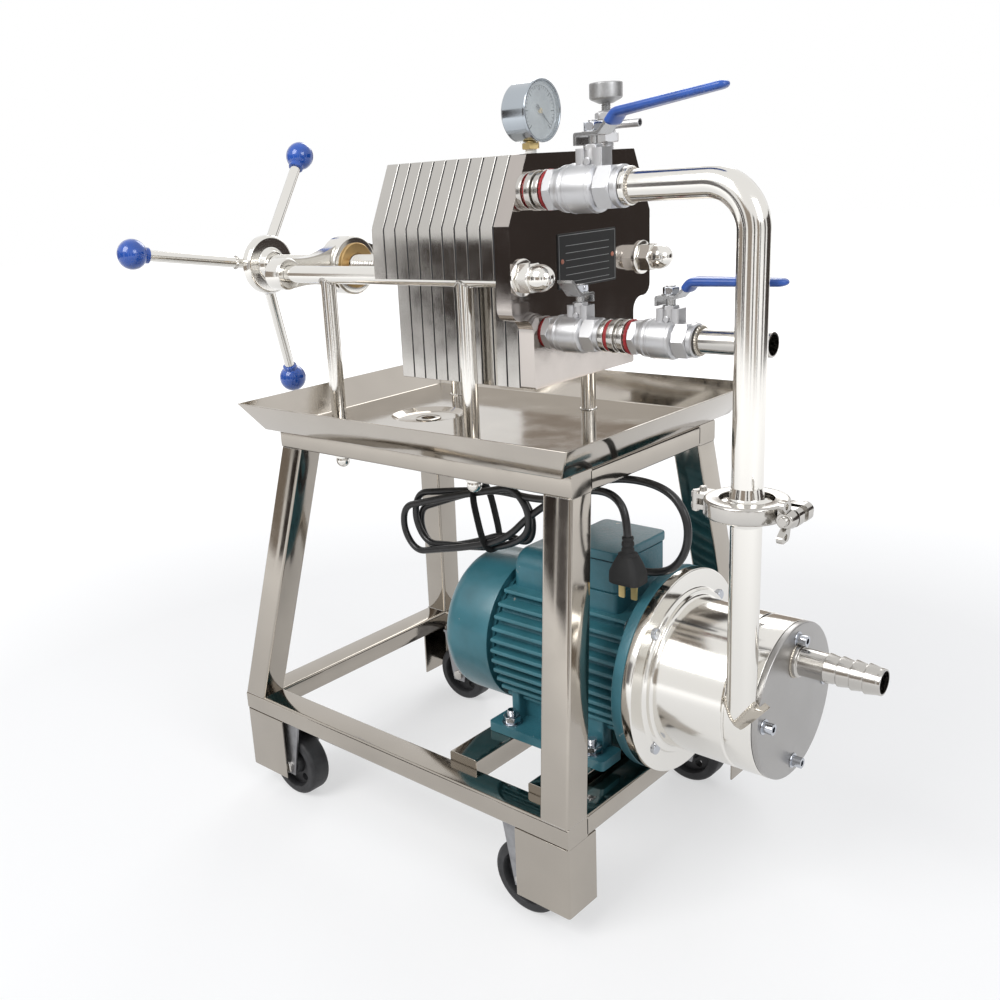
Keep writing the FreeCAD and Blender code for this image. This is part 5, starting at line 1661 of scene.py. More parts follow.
@dataclass
class Pipework:
    """Unions, nipples, delivery pipe with its elbow, ferrule clamp and outlet stub."""

    feed_y: float = -86.0
    feed_z: float = 671.0
    out_y: float = -61.0
    out_z: float = 545.2
    feed_x: float = 196.0
    inner_x: float = 162.7
    outer_x: float = 253.8
    pipe_r: float = 12.7
    wall: float = 1.6
    riser_x: float = 338.7
    elbow_r: float = 38.0
    clamp_z: float = 419.0
    ferrule_r: float = 25.2
    clamp_r: float = 33.0
    stub_r: float = 10.2
    stub_end: float = 345.0
    head_x: float = 126.0

    def union(self, x0: float, x1: float, y: float, z: float, k: float = 1.0) -> Shell:
        """Threaded union: collar, short thread, ring nut with two grooves, thread and end ring.

        Args:
            x0: start.
            x1: end.
            y: axis.
            z: axis.
            k: size of its rings.

        Returns:
            The shell.
        """
        n = x1 - x0
        c = (x0, y, z)
        out = thread(0.2, n - 0.2, c, Axis.X, 12.9, 0.7, 1.8, 48)
        for a, b, r in ((0.0, .19, 14.4), (.33, .55, 15.1), (.60, .66, 13.6), (.69, .88, 15.1)):
            edge = rounded([(n * a, 8.0), (n * a, r * k), (n * b, r * k), (n * b, 8.0)],
                           [0, 0.7, 0.7, 0], 4)
            out.join(lathe(edge, c, Axis.X, 72, ring=True))
        return out

    def red_ring(self, x: float, y: float, z: float, radius: float, wide: float = 1.6) -> Shell:
        """Band of red thread sealant pressed out round a joint."""
        return weld(ring_path((x, y, z), Axis.X, radius), wide, True, 3.6)

    def riser(self) -> Shell:
        """Level run, elbow and drop in one bent tube, open at the bottom only inside the clamp.

        Returns:
            The shell.
        """
        x0 = self.feed_x + 1.2 * 26.2 + 0.3
        low = self.clamp_z + 0.15
        path = bend_path([(x0, self.feed_y, self.feed_z), (self.riser_x, self.feed_y, self.feed_z),
                          (self.riser_x, self.feed_y, low)], self.elbow_r, 30)
        out = sweep(path, circle(0, 0, self.pipe_r, 72), up=(0.0, 1.0, 0.0))
        flare = rounded([(low, 12.0), (low, self.ferrule_r), (low + 2.0, self.ferrule_r),
                         (low + 4.2, self.ferrule_r - 3.5), (low + 6.5, self.pipe_r + 1.5),
                         (low + 16.0, self.pipe_r)], [0, 0.5, 0.5, 1.5, 3.0, 0], 5)
        out.join(lathe(flare, (self.riser_x, self.feed_y, 0), Axis.Z, 96))
        collar = rounded([(x0, 12.0), (x0, 15.5), (x0 + 5.0, 15.5), (x0 + 6.0, 13.2), (x0 + 6.4, 12.4)],
                         [0, 1.0, 1.0, 0.4, 0], 4)
        return out.join(lathe(collar, (0, self.feed_y, self.feed_z), Axis.X, 72))

    def clamp(self) -> Shell:
        """Two half rings round the ferrules with hinge links, ears and a bolt.

        Returns:
            The shell.
        """
        x, y, z, r = self.riser_x, self.feed_y, self.clamp_z, self.clamp_r
        band = rounded([(z - 7.5, 20.5), (z - 7.5, r - 1.0), (z - 6.0, r + 1.0), (z + 6.0, r + 1.0),
                        (z + 7.5, r - 1.0), (z + 7.5, 20.5), (z + 3.4, self.ferrule_r + 0.3),
                        (z - 3.4, self.ferrule_r + 0.3)], [0.6, 1.2, 2.0, 2.0, 1.2, 0.6, 0, 0], 4, True)
        out = lathe(band[::-1], (x, y, 0), Axis.Z, 120, ring=True)
        for s in (-1, 1):
            y0, y1 = sorted((y + s * 3.5, y + s * 12.0))
            out.join(rounded_box((x + r - 4, x + r + 17), (y0, y1), (z - 7, z + 7), Axis.Y, 5.0, 6))
            out.join(rounded_box((x - r - 14, x - r + 5), (y - 9, y + 9), (z + s * 4.6 - 2, z + s * 4.6 + 2),
                                 Axis.Z, 6.0, 6))
            out.join(lathe([(z - 9, 2.4), (z - 8.4, 3.0), (z + 8.4, 3.0), (z + 9, 2.4)],
                           (x - r - 9, y + s * 6.0, 0), Axis.Z, 28))
        bolt = thread(y - 25.5, y + 17.5, (x + r + 9, 0, z), Axis.Y, 4.0, 0.6, 1.4, 28)
        return out.join(bolt, lathe([(y + 12.0, 6.4), (y + 16.5, 6.4), (y + 17.6, 4.5)],
                                    (x + r + 9, 0, z), Axis.Y, 32))

    def wing_nut(self) -> Shell:
        """Wing nut: coned hub and two rounded wings, each with a finger dimple.

        Returns:
            The shell.
        """
        x, y, z = self.riser_x + self.clamp_r + 9, self.feed_y, self.clamp_z
        hub = rounded([(y - 22.0, 4.1), (y - 22.0, 6.6), (y - 13.2, 8.2), (y - 13.2, 4.1)],
                      [0, 0.8, 0.8, 0], 4)
        out = lathe(hub, (x, 0, z), Axis.Y, 48, ring=True)
        for s in (-1, 1):
            wing = [(y - 14.5, z + s * 5.0), (y - 21.5, z + s * 5.0), (y - 30.5, z + s * 12.5),
                    (y - 28.0, z + s * 17.0), (y - 17.0, z + s * 16.0)]
            loop = rounded(wing, [1.0, 1.5, 3.0, 3.0, 4.5], 6, closed=True)
            hole = circle(y - 23.0, z + s * 12.2, 2.6, 24)
            out.join(prism(loop, x - 2.4, x + 2.4, Axis.X, [hole]))
        return out

    def build(self) -> None:
        """Make the pipework."""
        fy, fz, oy, oz = self.feed_y, self.feed_z, self.out_y, self.out_z
        feed_end = self.feed_x - 1.2 * 35.5 - 0.3
        self.union(self.head_x, feed_end, fy, fz, 1.12).piece(
            "feed_union_rings", Finishes.TURNED, replaces=("feed_union",))
        ends = (self.inner_x - 35.5, self.inner_x + 26.2, self.outer_x - 35.5, self.outer_x + 26.2)
        line = lathe([(self.head_x, 10.5), (ends[0] - 0.3, 10.5)], (0, oy, oz), Axis.X, 48)
        line.join(self.union(ends[1] + 0.3, ends[2] - 0.3, oy, oz))
        x0 = ends[3] + 0.3
        stub = rounded([(x0, self.stub_r - self.wall), (x0, self.stub_r), (self.stub_end, self.stub_r),
                        (self.stub_end, self.stub_r - self.wall)], [0, 0, 0.5, 0.5], 3)
        line.join(lathe(stub, (0, oy, oz), Axis.X, 72, ring=True))
        line.piece("drain_line_pipes", Finishes.TURNED, replaces=("drain_line",))
        seal = self.red_ring(self.head_x + 7.6, fy, fz, 13.6).join(
            self.red_ring(feed_end - 0.8, fy, fz, 15.6),
            self.red_ring(self.head_x + 0.9, oy, oz, 12.6, 1.3),
            self.red_ring(ends[2] - 1.0, oy, oz, 13.6))
        tape = lathe([(ends[1] + 5.8, 12.0), (ends[1] + 6.2, 13.7), (ends[1] + 9.6, 13.9),
                      (ends[1] + 10.2, 12.0)], (0, oy, oz), Axis.X, 48)
        seal.join(tape).piece("thread_sealant", Finishes.RED)
        beads = weld(ring_path((x0 + 2.2, oy, oz), Axis.X, 11.2), 1.5, True)
        beads.join(weld(ring_path((self.feed_x + 1.2 * 26.2 + 6.8, fy, fz), Axis.X, 13.0), 1.3, True))
        beads.piece("pipe_welds", Finishes.HEAT)
        self.riser().piece("riser_tube", Finishes.POLISHED, replaces=("riser_pipe",))
        self.clamp().piece("clamp_band", Finishes.TURNED, bevel=0.5, replaces=("pipe_clamp",))
        self.wing_nut().piece("clamp_wing_nut", Finishes.TURNED, bevel=0.7)
        gasket = lathe([(self.clamp_z - 1.2, 24.6), (self.clamp_z + 1.2, 24.6)],
                       (self.riser_x, fy, 0), Axis.Z, 72)
        gasket.piece("clamp_gasket", Finishes.SEAL_AND_GAP_SHADE)
        Valve("feed", self.feed_x, fy, fz, "feed", k=1.2, grip=88.0, rise=11.0).build()
        Valve("inner", self.inner_x, oy, oz, "inner", reach=23.0, turn=-90.0).build()
        Valve("outer", self.outer_x, oy, oz, "outer", grip=74.0).build()


# ------------------------------------------------------------------ pump
@dataclass
class Pump:
    """Centrifugal pump: bolt flange, polished barrel, delivery pipe, cover and hose tail."""

    y: float = -14.0
    z: float = 220.0
    x0: float = 236.3
    flange_r: float = 100.0
    barrel_r: float = 73.0
    cover_x: float = 354.0
    cover_t: float = 5.6
    bolts: float = 82.5
    screws: float = 60.0
    pipe_x: float = 338.7
    pipe_y: float = -86.0
    pipe_r: float = 12.7
    clamp_z: float = 419.0
    ferrule_r: float = 25.2
    tail_z: float = 260.0
    tail_r: float = 12.7
    tail_end: float = 430.0
    pitch: float = 11.4
    teeth: int = 4

    def barrel(self) -> Shell:
        """Flange, step and barrel with one groove, as one turned surface."""
        x0, joint = self.x0, self.cover_x - self.cover_t
        section = rounded([(x0, 30.0), (x0, self.flange_r), (x0 + 10, self.flange_r), (x0 + 10, 81.0),
                           (x0 + 13.5, 79.5), (x0 + 13.5, self.barrel_r), (x0 + 83, self.barrel_r),
                           (x0 + 84, 71.6), (x0 + 85.6, 71.6), (x0 + 86.6, self.barrel_r),
                           (joint, self.barrel_r), (joint, 30.0)],
                          [0, 0.8, 1.2, 2.5, 0.8, 3.5, 0.5, 0.4, 0.4, 0.5, 0.5, 0], 5)
        return lathe(section, (0, self.y, self.z), Axis.X, 180, ring=True)

    def foot(self, a: np.ndarray) -> np.ndarray:
        """Points of the pipe's pointed foot at angles a round the pipe.

        At angle a the point is on the pipe's wall, and its height above the tip grows with its
        sideways distance from the tip.

        Args:
            a: angles.

        Returns:
            (n, 3) points.
        """
        x = self.pipe_x + self.pipe_r * np.cos(a)
        y = self.pipe_y + self.pipe_r * np.sin(a)
        z = self.z + 8.0 + np.sqrt((x - self.pipe_x) ** 2 + 4.0) * 1.55
        return np.stack([x, y, z], -1)

    def saddle(self) -> Shell:
        """Welded saddle: each point of the pointed foot is led down to the barrel's skin.

        The surface at (u, v) is the cubic blend between the foot's point v and a barrel point
        below and outside it, and it leaves the pipe along the wall and meets the barrel flat.

        Returns:
            The shell.
        """
        top = self.foot(np.linspace(-math.pi, 0.0, 61))
        side = (top[:, 0] - self.pipe_x) / self.pipe_r
        z = top[:, 2] - 9.0 - 5.0 * (1.0 - np.abs(side))
        x = self.pipe_x + side * (self.pipe_r + 7.0)
        y = self.y - np.sqrt(np.maximum((self.barrel_r - 0.6) ** 2 - (z - self.z) ** 2, 0.0))
        low = np.stack([x, y, z], -1)
        u = np.linspace(0.0, 1.0, 14)[:, None, None]
        lead = top + np.array([0.0, 0.0, -7.0])
        out = low + np.array([0.0, -1.2, 3.0])
        grid = ((1 - u) ** 3 * top + 3 * (1 - u) ** 2 * u * lead + 3 * (1 - u) * u ** 2 * out
                + u ** 3 * low)
        back = grid[:, ::-1] * [1, 0, 1] + [0, self.y - self.barrel_r + 14.0, 0]
        return Shell().grid(np.concatenate([grid, back], 1)[::-1], wrap_v=True, cap_start=True,
                            cap_end=True)

    def drop(self) -> Shell:
        """Delivery pipe from the ferrule down into the saddle."""
        top = self.clamp_z - 0.15
        flare = rounded([(top - 16.0, self.pipe_r), (top - 6.5, self.pipe_r + 1.5),
                         (top - 4.2, self.ferrule_r - 3.5), (top - 2.0, self.ferrule_r),
                         (top, self.ferrule_r), (top, 11.0)], [0, 3.0, 1.5, 0.5, 0.5, 0], 5)
        out = lathe(flare, (self.pipe_x, self.pipe_y, 0), Axis.Z, 96)
        low = self.foot(np.linspace(-math.pi, math.pi, 96, endpoint=False))
        u = np.linspace(0.0, 1.0, 12)[:, None]
        grid = np.repeat(low[None], len(u), 0)
        grid[..., 2] = low[:, 2] * (1 - u) + (top - 15.0) * u
        return out.join(Shell().grid(grid, wrap_v=True, cap_start=True, cap_end=True))

    def cover(self) -> Shell:
        """Cover disc with a bright chamfered rim."""
        x = self.cover_x
        section = rounded([(x - self.cover_t + 0.3, 0.0), (x - self.cover_t + 0.3, self.barrel_r - 0.4),
                           (x, self.barrel_r - 0.4), (x, 0.0)], [0, 0.4, 1.2, 0], 5)
        return lathe(section, (0, self.y, self.z), Axis.X, 180)

    def cap_screws(self) -> Shell:
        """Four socket screws on the cover."""
        out = Shell()
        x = self.cover_x
        for k in range(4):
            a = math.pi / 2 * k
            y, z = self.y + self.screws * math.cos(a), self.z + self.screws * math.sin(a)
            out.join(prism(circle(y, z, 5.0, 40), x, x + 9.0, Axis.X, [hexagon_loop(y, z, 5.0, 0.3)]))
            out.join(lathe([(x + 1.0, 3.1), (x + 4.6, 3.1), (x + 5.2, 0.0)], (0, y, z), Axis.X, 24))
            out.join(lathe([(x, 6.8), (x + 0.5, 7.1), (x + 0.9, 6.8), (x + 0.9, 4.0)], (0, y, z),
                           Axis.X, 40))
        return out

    def flange_screws(self) -> Shell:
        """Four hexagon screws on the flange, at 45 degrees."""
        out = Shell()
        d = self.bolts / math.sqrt(2.0)
        for sy in (-1, 1):
            for sz in (-1, 1):
                y, z = self.y + sy * d, self.z + sz * d
                out.join(lathe([(self.x0 + 9.8, 5.6), (self.x0 + 12.0, 5.6), (self.x0 + 12.8, 4.6)],
                               (0, y, z), Axis.X, 40))
        return out

    def tail(self) -> Shell:
        """Hose tail: collar, smooth wall, sawtooth rings and an open end.

        Returns:
            The shell.
        """
        x, r = self.cover_x + 0.3, self.tail_r
        a = self.tail_end - 2.6 - self.teeth * self.pitch
        points = [(x, r - 2.6), (x, 15.0), (x + 4.0, 15.0), (x + 5.0, r), (a, r)]
        radii = [0.0, 0.5, 0.8, 0.8, 0.3]
        for _ in range(self.teeth):
            points += [(a + 0.4, r + 0.9), (a + self.pitch - 1.0, r - 0.9), (a + self.pitch, r - 0.9)]
            radii += [0.5, 0.6, 0.3]
            a += self.pitch
        points += [(self.tail_end, r - 1.0), (self.tail_end, r - 2.6)]
        radii += [0.5, 0.5]
        return lathe(rounded(points, radii, 4), (0, self.y, self.tail_z), Axis.X, 96, ring=True)

    def build(self) -> None:
        """Make the pump."""
        self.barrel().piece("pump_barrel", Finishes.POLISHED, replaces=("pump_casing",))
        self.drop().piece("delivery_drop", Finishes.POLISHED, sharp=40.0)
        self.saddle().piece("delivery_saddle", Finishes.HEAT, sharp=60.0)
        line = self.foot(np.linspace(-math.pi, 0.0, 61)) - [0, 0, 0.4]
        weld(line, 1.3).piece("delivery_weld", Finishes.HEAT)
        self.cover().piece("pump_face", Finishes.FACE, replaces=("pump_cover",))
        self.cap_screws().join(self.flange_screws()).piece("pump_screws", Finishes.NUT, bevel=0.35)
        self.tail().piece("hose_tail", Finishes.TURNED, replaces=("suction_barb",))
        weld(ring_path((self.cover_x + 0.5, self.y, self.tail_z), Axis.X, 15.4), 0.9, True).piece(
            "hose_tail_weld", Finishes.HEAT)


# ------------------------------------------------------------------ motor
@dataclass
class Motor:
    """Finned foot-mounted motor: housing, feet, flange, hump, fan cowl and terminal box."""

    y: float = -14.0
    z: float = 220.0
    x0: float = 62.0
    flange_x: float = 236.0
    flange_r: float = 100.0
    core_r: float = 66.0
    fin_r: float = 77.0
    fin_step: float = 11.5
    fin_t: float = 4.4
    cowl_end: float = -6.0
    cowl_r: float = 79.0
    foot_z: float = 130.0
    foot_bolts: tuple[float, float] = (82.0, 182.0)
    box_x: tuple[float, float] = (126.0, 196.0)
    box_z: tuple[float, float] = (300.0, 341.0)

    def housing(self) -> Shell:
        """Barrel, end bell and flange as one turned surface."""
        x0, x1 = self.x0, self.flange_x
        section = rounded([(x0, 0.0), (x0, self.core_r), (x0 + 152, self.core_r), (x0 + 152, 76.0),
                           (x0 + 160, 80.0), (x0 + 163, 80.0), (x0 + 163, self.flange_r),
                           (x1, self.flange_r), (x1, 0.0)], [0, 1.5, 3.0, 2.0, 2.5, 2.0, 1.6, 0.8, 0], 5)
        return lathe(section, (0, self.y, self.z), Axis.X, 180)

    def fins(self) -> Shell:
        """Level cooling fins, each as wide as the fin circle at its height."""
        out = Shell()
        for k in range(-5, 6):
            dz = self.fin_step * k
            half = math.sqrt(max(self.fin_r ** 2 - dz ** 2, 100.0))
            z = self.z + dz
            out.join(rounded_box((self.x0 + 2, self.x0 + 152), (self.y - half, self.y + half),
                                 (z - self.fin_t / 2, z + self.fin_t / 2), Axis.X, 1.5, 4))
        return out

    def feet(self) -> Shell:
        """Foot plates and their webs."""
        out = Shell()
        for sy in (-1, 1):
            y0, y1 = sorted((self.y + sy * 46, self.y + sy * 80))
            out.join(rounded_box((self.x0 - 2, self.x0 + 140), (y0, y1), (self.foot_z, self.foot_z + 10),
                                 Axis.Z, 4.0, 5))
            y0, y1 = sorted((self.y + sy * 40, self.y + sy * 58))
            for a, b in ((12, 22), (104, 126)):
                out.join(rounded_box((self.x0 + a, self.x0 + b), (y0, y1),
                                     (self.foot_z + 9, self.z - 38), Axis.Z, 2.0))
            out.join(rounded_box((self.x0 + 12, self.x0 + 126), sorted((self.y + sy * 40, self.y + sy * 46)),
                                 (self.foot_z + 9, self.z - 38), Axis.Z, 2.0))
        return out

    def hump(self) -> Shell:
        """Capacitor cover: a rounded arch along X with softened ends.

        Each section is the arch drawn in by a quarter circle over the first and last eight
        millimetres.

        Returns:
            The shell.
        """
        y, z = self.y, self.z
        arch = rounded([(y - 36, z + 55), (y + 36, z + 55), (y + 36, z + 98), (y - 36, z + 98)],
                       [0, 0, 20, 20], 9, closed=True)
        mid = np.array([y, z + 62.0])
        t = np.linspace(0.0, math.pi / 2, 7)
        x0, x1, r = self.x0 + 2.0, self.x0 + 56.0, 8.0
        along = np.concatenate([x0 + r * (1 - np.cos(t)), x1 - r * (1 - np.cos(t[::-1]))])
        inset = np.concatenate([r * (1 - np.sin(t)), r * (1 - np.sin(t[::-1]))])
        scale = 1.0 - inset / 36.0
        pts = np.zeros((len(along), len(arch), 3))
        pts[..., 0] = along[:, None]
        pts[..., 1:] = mid + (arch - mid) * scale[:, None, None]
        return Shell().grid(pts, wrap_v=True, cap_start=True, cap_end=True)

    def cowl(self) -> Shell:
        """Fan cover: vented end, rolled shoulder, straight skirt and the end shield inside it.

        Returns:
            The shell.
        """
        x0, r = self.cowl_end, self.cowl_r
        t = np.linspace(0.0, math.pi / 2, 14)
        outer = [(x0 + 22 * (1 - math.cos(a)), r - 22 + 22 * math.sin(a)) for a in t]
        inner = [(x0 + 2 + 20 * (1 - math.cos(a)), r - 24 + 22 * math.sin(a)) for a in t[::-1]]
        section = outer + [(58.0, r), (60.0, r - 0.6), (60.0, r - 2)] + inner
        out = lathe(section, (0, self.y, self.z), Axis.X, 180, ring=True)
        holes = [circle(self.y + q * math.cos(a), self.z + q * math.sin(a), 4.0, 20)
                 for q in (22, 36, 50)
                 for a in (TAU * k / 8 + (0.2 if q == 36 else 0.0) for k in range(8))]
        out.join(prism(circle(self.y, self.z, r - 22.0 + 0.2, 120), x0, x0 + 2.0, Axis.X, holes))
        shield = lathe([(x0 + 56, 20.0), (x0 + 56, r - 2.4), (x0 + 64.5, r - 2.4), (x0 + 64.5, 69.0),
                        (x0 + 68.5, 69.0)], (0, self.y, self.z), Axis.X, 120)
        return out.join(shield)

    def fan(self) -> Shell:
        """Fan disc with ten blades, seen through the vents."""
        x0 = self.cowl_end + 14
        out = lathe([(x0, 0.0), (x0, 60.0), (x0 + 3, 60.0), (x0 + 3, 20.0), (x0 + 42, 20.0)],
                    (0, self.y, self.z), Axis.X, 72)
        for k in range(10):
            blade = rounded_box((x0 + 3, x0 + 24), (-1.0, 1.0), (18.0, 58.0), Axis.X, 0.6, 2)
            out.join(blade.turned((1, 0, 0), 36.0 * k).moved(0, self.y, self.z))
        return out

    def box(self) -> tuple[Shell, Shell]:
        """Terminal box with its cast seat, and its lid with a gasket line.

        Returns:
            The box and the lid.
        """
        (x0, x1), (z0, z1) = self.box_x, self.box_z
        y = self.y
        body = rounded_box((x0, x1), (y - 42, y + 42), (z0, z1 - 10.6), Axis.Z, 6.0, 6)
        body.join(rounded_box((x0 - 2, x1), (y - 44, y + 44), (self.z + 45, z0 - 0.3), Axis.Z, 4.0))
        lid = rounded_box((x0 - 1.5, x1 + 1.5), (y - 43.5, y + 43.5), (z1 - 9.6, z1), Axis.Z, 7.0, 6)
        return body, lid

    def build(self) -> None:
        """Make the motor."""
        self.housing().join(self.feet()).piece("motor_housing", Finishes.TEAL_CAST, bevel=0.0,
                                               replaces=("motor_body",))
        self.fins().piece("motor_fins", Finishes.TEAL_FIN, bevel=0.4)
        self.hump().piece("capacitor_hump", Finishes.TEAL_CHIP, sharp=50.0)
        self.cowl().piece("fan_cowl", Finishes.TEAL, replaces=("motor_cowl",))
        self.fan().piece("fan_blades", Finishes.PLUG)
        body, lid = self.box()
        body.piece("terminal_box_body", Finishes.TEAL_CAST, bevel=0.8, replaces=("terminal_box",))
        lid.piece("terminal_box_lid", Finishes.TEAL_CHIP, bevel=1.8)
        y = self.y
        rounded_box((self.box_x[0] + 0.8, self.box_x[1] - 0.8), (y - 41, y + 41),
                    (self.box_z[1] - 10.8, self.box_z[1] - 9.4), Axis.Z, 5.0).piece(
                        "terminal_box_gasket", Finishes.SEAL_AND_GAP_SHADE)
        screws = Shell()
        for sx in (self.box_x[0] + 7, self.box_x[1] - 7):
            for sy in (-1, 1):
                screws.join(lathe([(self.box_z[1] - 0.4, 3.4), (self.box_z[1] - 0.05, 3.2),
                                   (self.box_z[1] - 0.02, 0.0)], (sx, y + sy * 35, 0), Axis.Z, 28))
        bolts = Shell()
        for sy in (-1, 1):
            for bx in self.foot_bolts:
                c = (bx, y + sy * 68, self.foot_z)
                bolts.join(lathe([(9.9, 10.5), (11.6, 10.5), (11.8, 6.0)], c, Axis.Z, 48),
                           nut((c[0], c[1], self.foot_z + 11.6), Axis.Z, 16.2, 7.0, 0.4),
                           thread(18.0, 25.0, c, Axis.Z, 4.9, 0.6, 1.5, 28))
        d = 82.5 / math.sqrt(2.0)
        for sy in (-1, 1):
            for sz in (-1, 1):
                bolts.join(nut((self.x0 + 156.0, y + sy * d, self.z + sz * d), Axis.X, 16.2, 7.2))
        bolts.join(screws).piece("motor_bolts", Finishes.NUT)


# ------------------------------------------------------------------ cord
@dataclass
class PowerCord:
    """Mains cord from the gland, over the motor, folded into a tied hank, to a hanging plug."""

    diameter: float = 7.5
    first: tuple[tuple[float, float, float], ...] = (
        (198.0, -40.0, 322.0), (235.0, -42.0, 322.0), (259.8, -42.0, 346.8), (259.8, -38.0, 381.8),
        (235.0, -34.0, 406.4), (178.0, -26.0, 406.4), (128.0, -26.0, 388.0), (84.2, -40.0, 358.0))
    last: tuple[tuple[float, float, float], ...] = (
        (108.0, -50.0, 376.0), (140.0, -54.0, 391.0), (172.0, -59.0, 401.0), (200.0, -66.0, 402.0),
        (216.0, -70.0, 386.0), (217.0, -71.0, 358.0))
    middle: tuple[float, float, float] = (0.0, -40.0, 337.7)
    tilt: float = 14.0
    turns: tuple[tuple[float, float, float, float, float], ...] = (
        (-66.0, 56.0, 27.0, -8.0, -2.0), (-50.0, 50.0, 30.0, 0.5, 5.0), (-58.0, 42.0, 25.0, 8.5, -6.0))

    def placed(self, pts: np.ndarray) -> np.ndarray:
        """Hank points leant over and moved to their place."""
        rot = np.array(Matrix.Rotation(math.radians(-self.tilt), 3, "Y"))
        return pts @ rot.T + np.array(self.middle)

    def hank(self) -> np.ndarray:
        """Control points of the folded turns, twelve a turn.

        Each turn runs along its lower side, round the far end, back along its upper side and round
        the near end, where it steps sideways to the next one. The last one leaves at its top.

        Returns:
            (n, 3) points.
        """
        out = []
        for n, (x0, x1, r, y, tilt) in enumerate(self.turns):
            nxt = self.turns[min(n + 1, len(self.turns) - 1)][3]
            mid = 0.5 * (x0 + x1)
            ring = np.array([(x1 - 8, -r), (mid, -r - 2), (x0 + 8, -r), (x0 - r * 0.72, -r * 0.98),
                             (x0 - r * 1.14, 0.0), (x0 - r * 0.72, r * 0.98), (x0 + 8, r), (mid, r + 1),
                             (x1 - 8, r), (x1 + r * 0.72, r * 0.98), (x1 + r * 1.14, 0.0),
                             (x1 + r * 0.72, -r * 0.98)])
            side = y + (nxt - y) * np.clip((np.arange(12) - 8) / 4.0, 0, 1)
            a = math.radians(tilt)
            x = ring[:, 0] * math.cos(a) + ring[:, 1] * math.sin(a)
            z = -ring[:, 0] * math.sin(a) + ring[:, 1] * math.cos(a)
            out.append(np.stack([x, side, z], -1)[:9 if n == len(self.turns) - 1 else 12])
        return self.placed(np.vstack(out))

    def route(self) -> np.ndarray:
        """Control points of the whole cord in layout millimetres."""
        return np.vstack([np.array(self.first), self.hank(), np.array(self.last)])

    def curve(self) -> bpy.types.Object:
        """The cord as one open NURBS spline through its route's control points.

        Returns:
            The curve object.
        """
        pts = (self.route() + SHIFT) * MM
        data = bpy.data.curves.new("mains_cord", "CURVE")
        data.dimensions = "3D"
        data.bevel_depth = 1.0
        data.bevel_resolution = 6
        data.use_fill_caps = True
        data.resolution_u = 16
        spline = data.splines.new("NURBS")
        spline.points.add(len(pts) - 1)
        spline.points.foreach_set("co", np.column_stack([pts, np.ones(len(pts))]).ravel())
        spline.points.foreach_set("radius", np.full(len(pts), self.diameter * MM / 2))
        spline.order_u = 3
        spline.use_endpoint_u = True
        obj = bpy.data.objects.new("mains_cord", data)
        bpy.context.scene.collection.objects.link(obj)
        data.materials.append(Finishes.CORD.material())
        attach(obj, "press_frame")
        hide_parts("power_cord", "cord_hank")
        return obj

    def length(self, obj: bpy.types.Object) -> float:
        """Real length of the spline in metres."""
        depth, obj.data.bevel_depth = obj.data.bevel_depth, 0.0
        line = bpy.data.meshes.new_from_object(obj)
        pts = np.zeros(len(line.vertices) * 3)
        line.vertices.foreach_get("co", pts)
        bpy.data.meshes.remove(line)
        obj.data.bevel_depth = depth
        return float(np.linalg.norm(np.diff(pts.reshape(-1, 3), axis=0), axis=1).sum())

    def build(self) -> None:
        """Make the cord, gland, tie and plug."""
        cord = self.curve()
        long = self.length(cord)
        LOG.info("cord length %.3f m", long)
        x, y, z = self.last[-1]
        top = z + 8.0
        plug = lathe([(top - 18, 3.0), (top - 18, 9.0), (top - 16, 9.0), (top - 14.4, 6.0),
                      (top - 11, 5.8), (top - 10.4, 5.1), (top - 8.6, 5.1), (top - 8, 5.7),
                      (top - 5, 5.6), (top - 4.4, 4.9), (top - 2.6, 4.9), (top - 2, 5.4), (top, 5.2),
                      (top, 4.0)], (x, y, 0), Axis.Z, 40)
        lower = rounded([(x - 1, y - 1), (x + 1, y - 1), (x + 1, y + 1), (x - 1, y + 1)], 0.5, 5, True)
        levels = [(top - 17.5, 8.0, 8.0), (top - 25, 12.0, 10.5), (top - 33, 15.6, 12.0),
                  (top - 37, 16.0, 12.0), (top - 43, 16.0, 12.0), (top - 44, 15.0, 11.0)]
        loops = [np.column_stack([x + (lower[:, 0] - x) * a, y + (lower[:, 1] - y) * b,
                                  np.full(len(lower), h)]) for h, a, b in levels[::-1]]
        plug.join(Shell().grid(np.stack(loops), wrap_v=True, cap_start=True, cap_end=True))
        head = plug.piece("plug_body", Finishes.PLUG, bevel=0.0, sharp=45.0, replaces=("cord_plug",))
        pins = Shell()
        for s in (-1, 1):
            pins.join(rounded_box((x + s * 6.5 - 3.2, x + s * 6.5 + 3.2), (y - 0.8, y + 0.8),
                                  (top - 60, top - 43), Axis.Y, 1.2))
        prongs = pins.piece("plug_pins", Finishes.BRASS)
        gx, gy, gz = self.first[0][0] - 2.0, self.first[0][1], self.first[0][2]
        seat = thread(5.0, 9.6, (gx, gy, gz), Axis.X, 7.0, 0.5, 1.4, 32)
        nut((gx, gy, gz), Axis.X, 16.0, 5.0).join(
            seat, lathe([(9.0, 7.0), (10.4, 6.6), (11.0, 5.4), (11.0, 4.1)], (gx, gy, gz), Axis.X,
                        40)).piece("gland_nut", Finishes.PLUG, replaces=("cord_gland",))
        t = np.linspace(0.0, TAU, 56, endpoint=False)
        ty = 0.2 + 14.4 * np.sign(np.cos(t)) * np.abs(np.cos(t)) ** 0.7
        tz = 0.5 + 34.0 * np.sign(np.sin(t)) * np.abs(np.sin(t)) ** 0.55
        line = self.placed(np.stack([np.full(56, 24.0), ty, tz], -1))
        strap = rounded([(-0.8, -4.5), (0.8, -4.5), (0.8, 4.5), (-0.8, 4.5)], 0.5, 3, True)
        sweep(line, strap[:, ::-1], closed=True, up=(1.0, 0.0, 0.0)).piece("hank_tie", Finishes.PLUG)


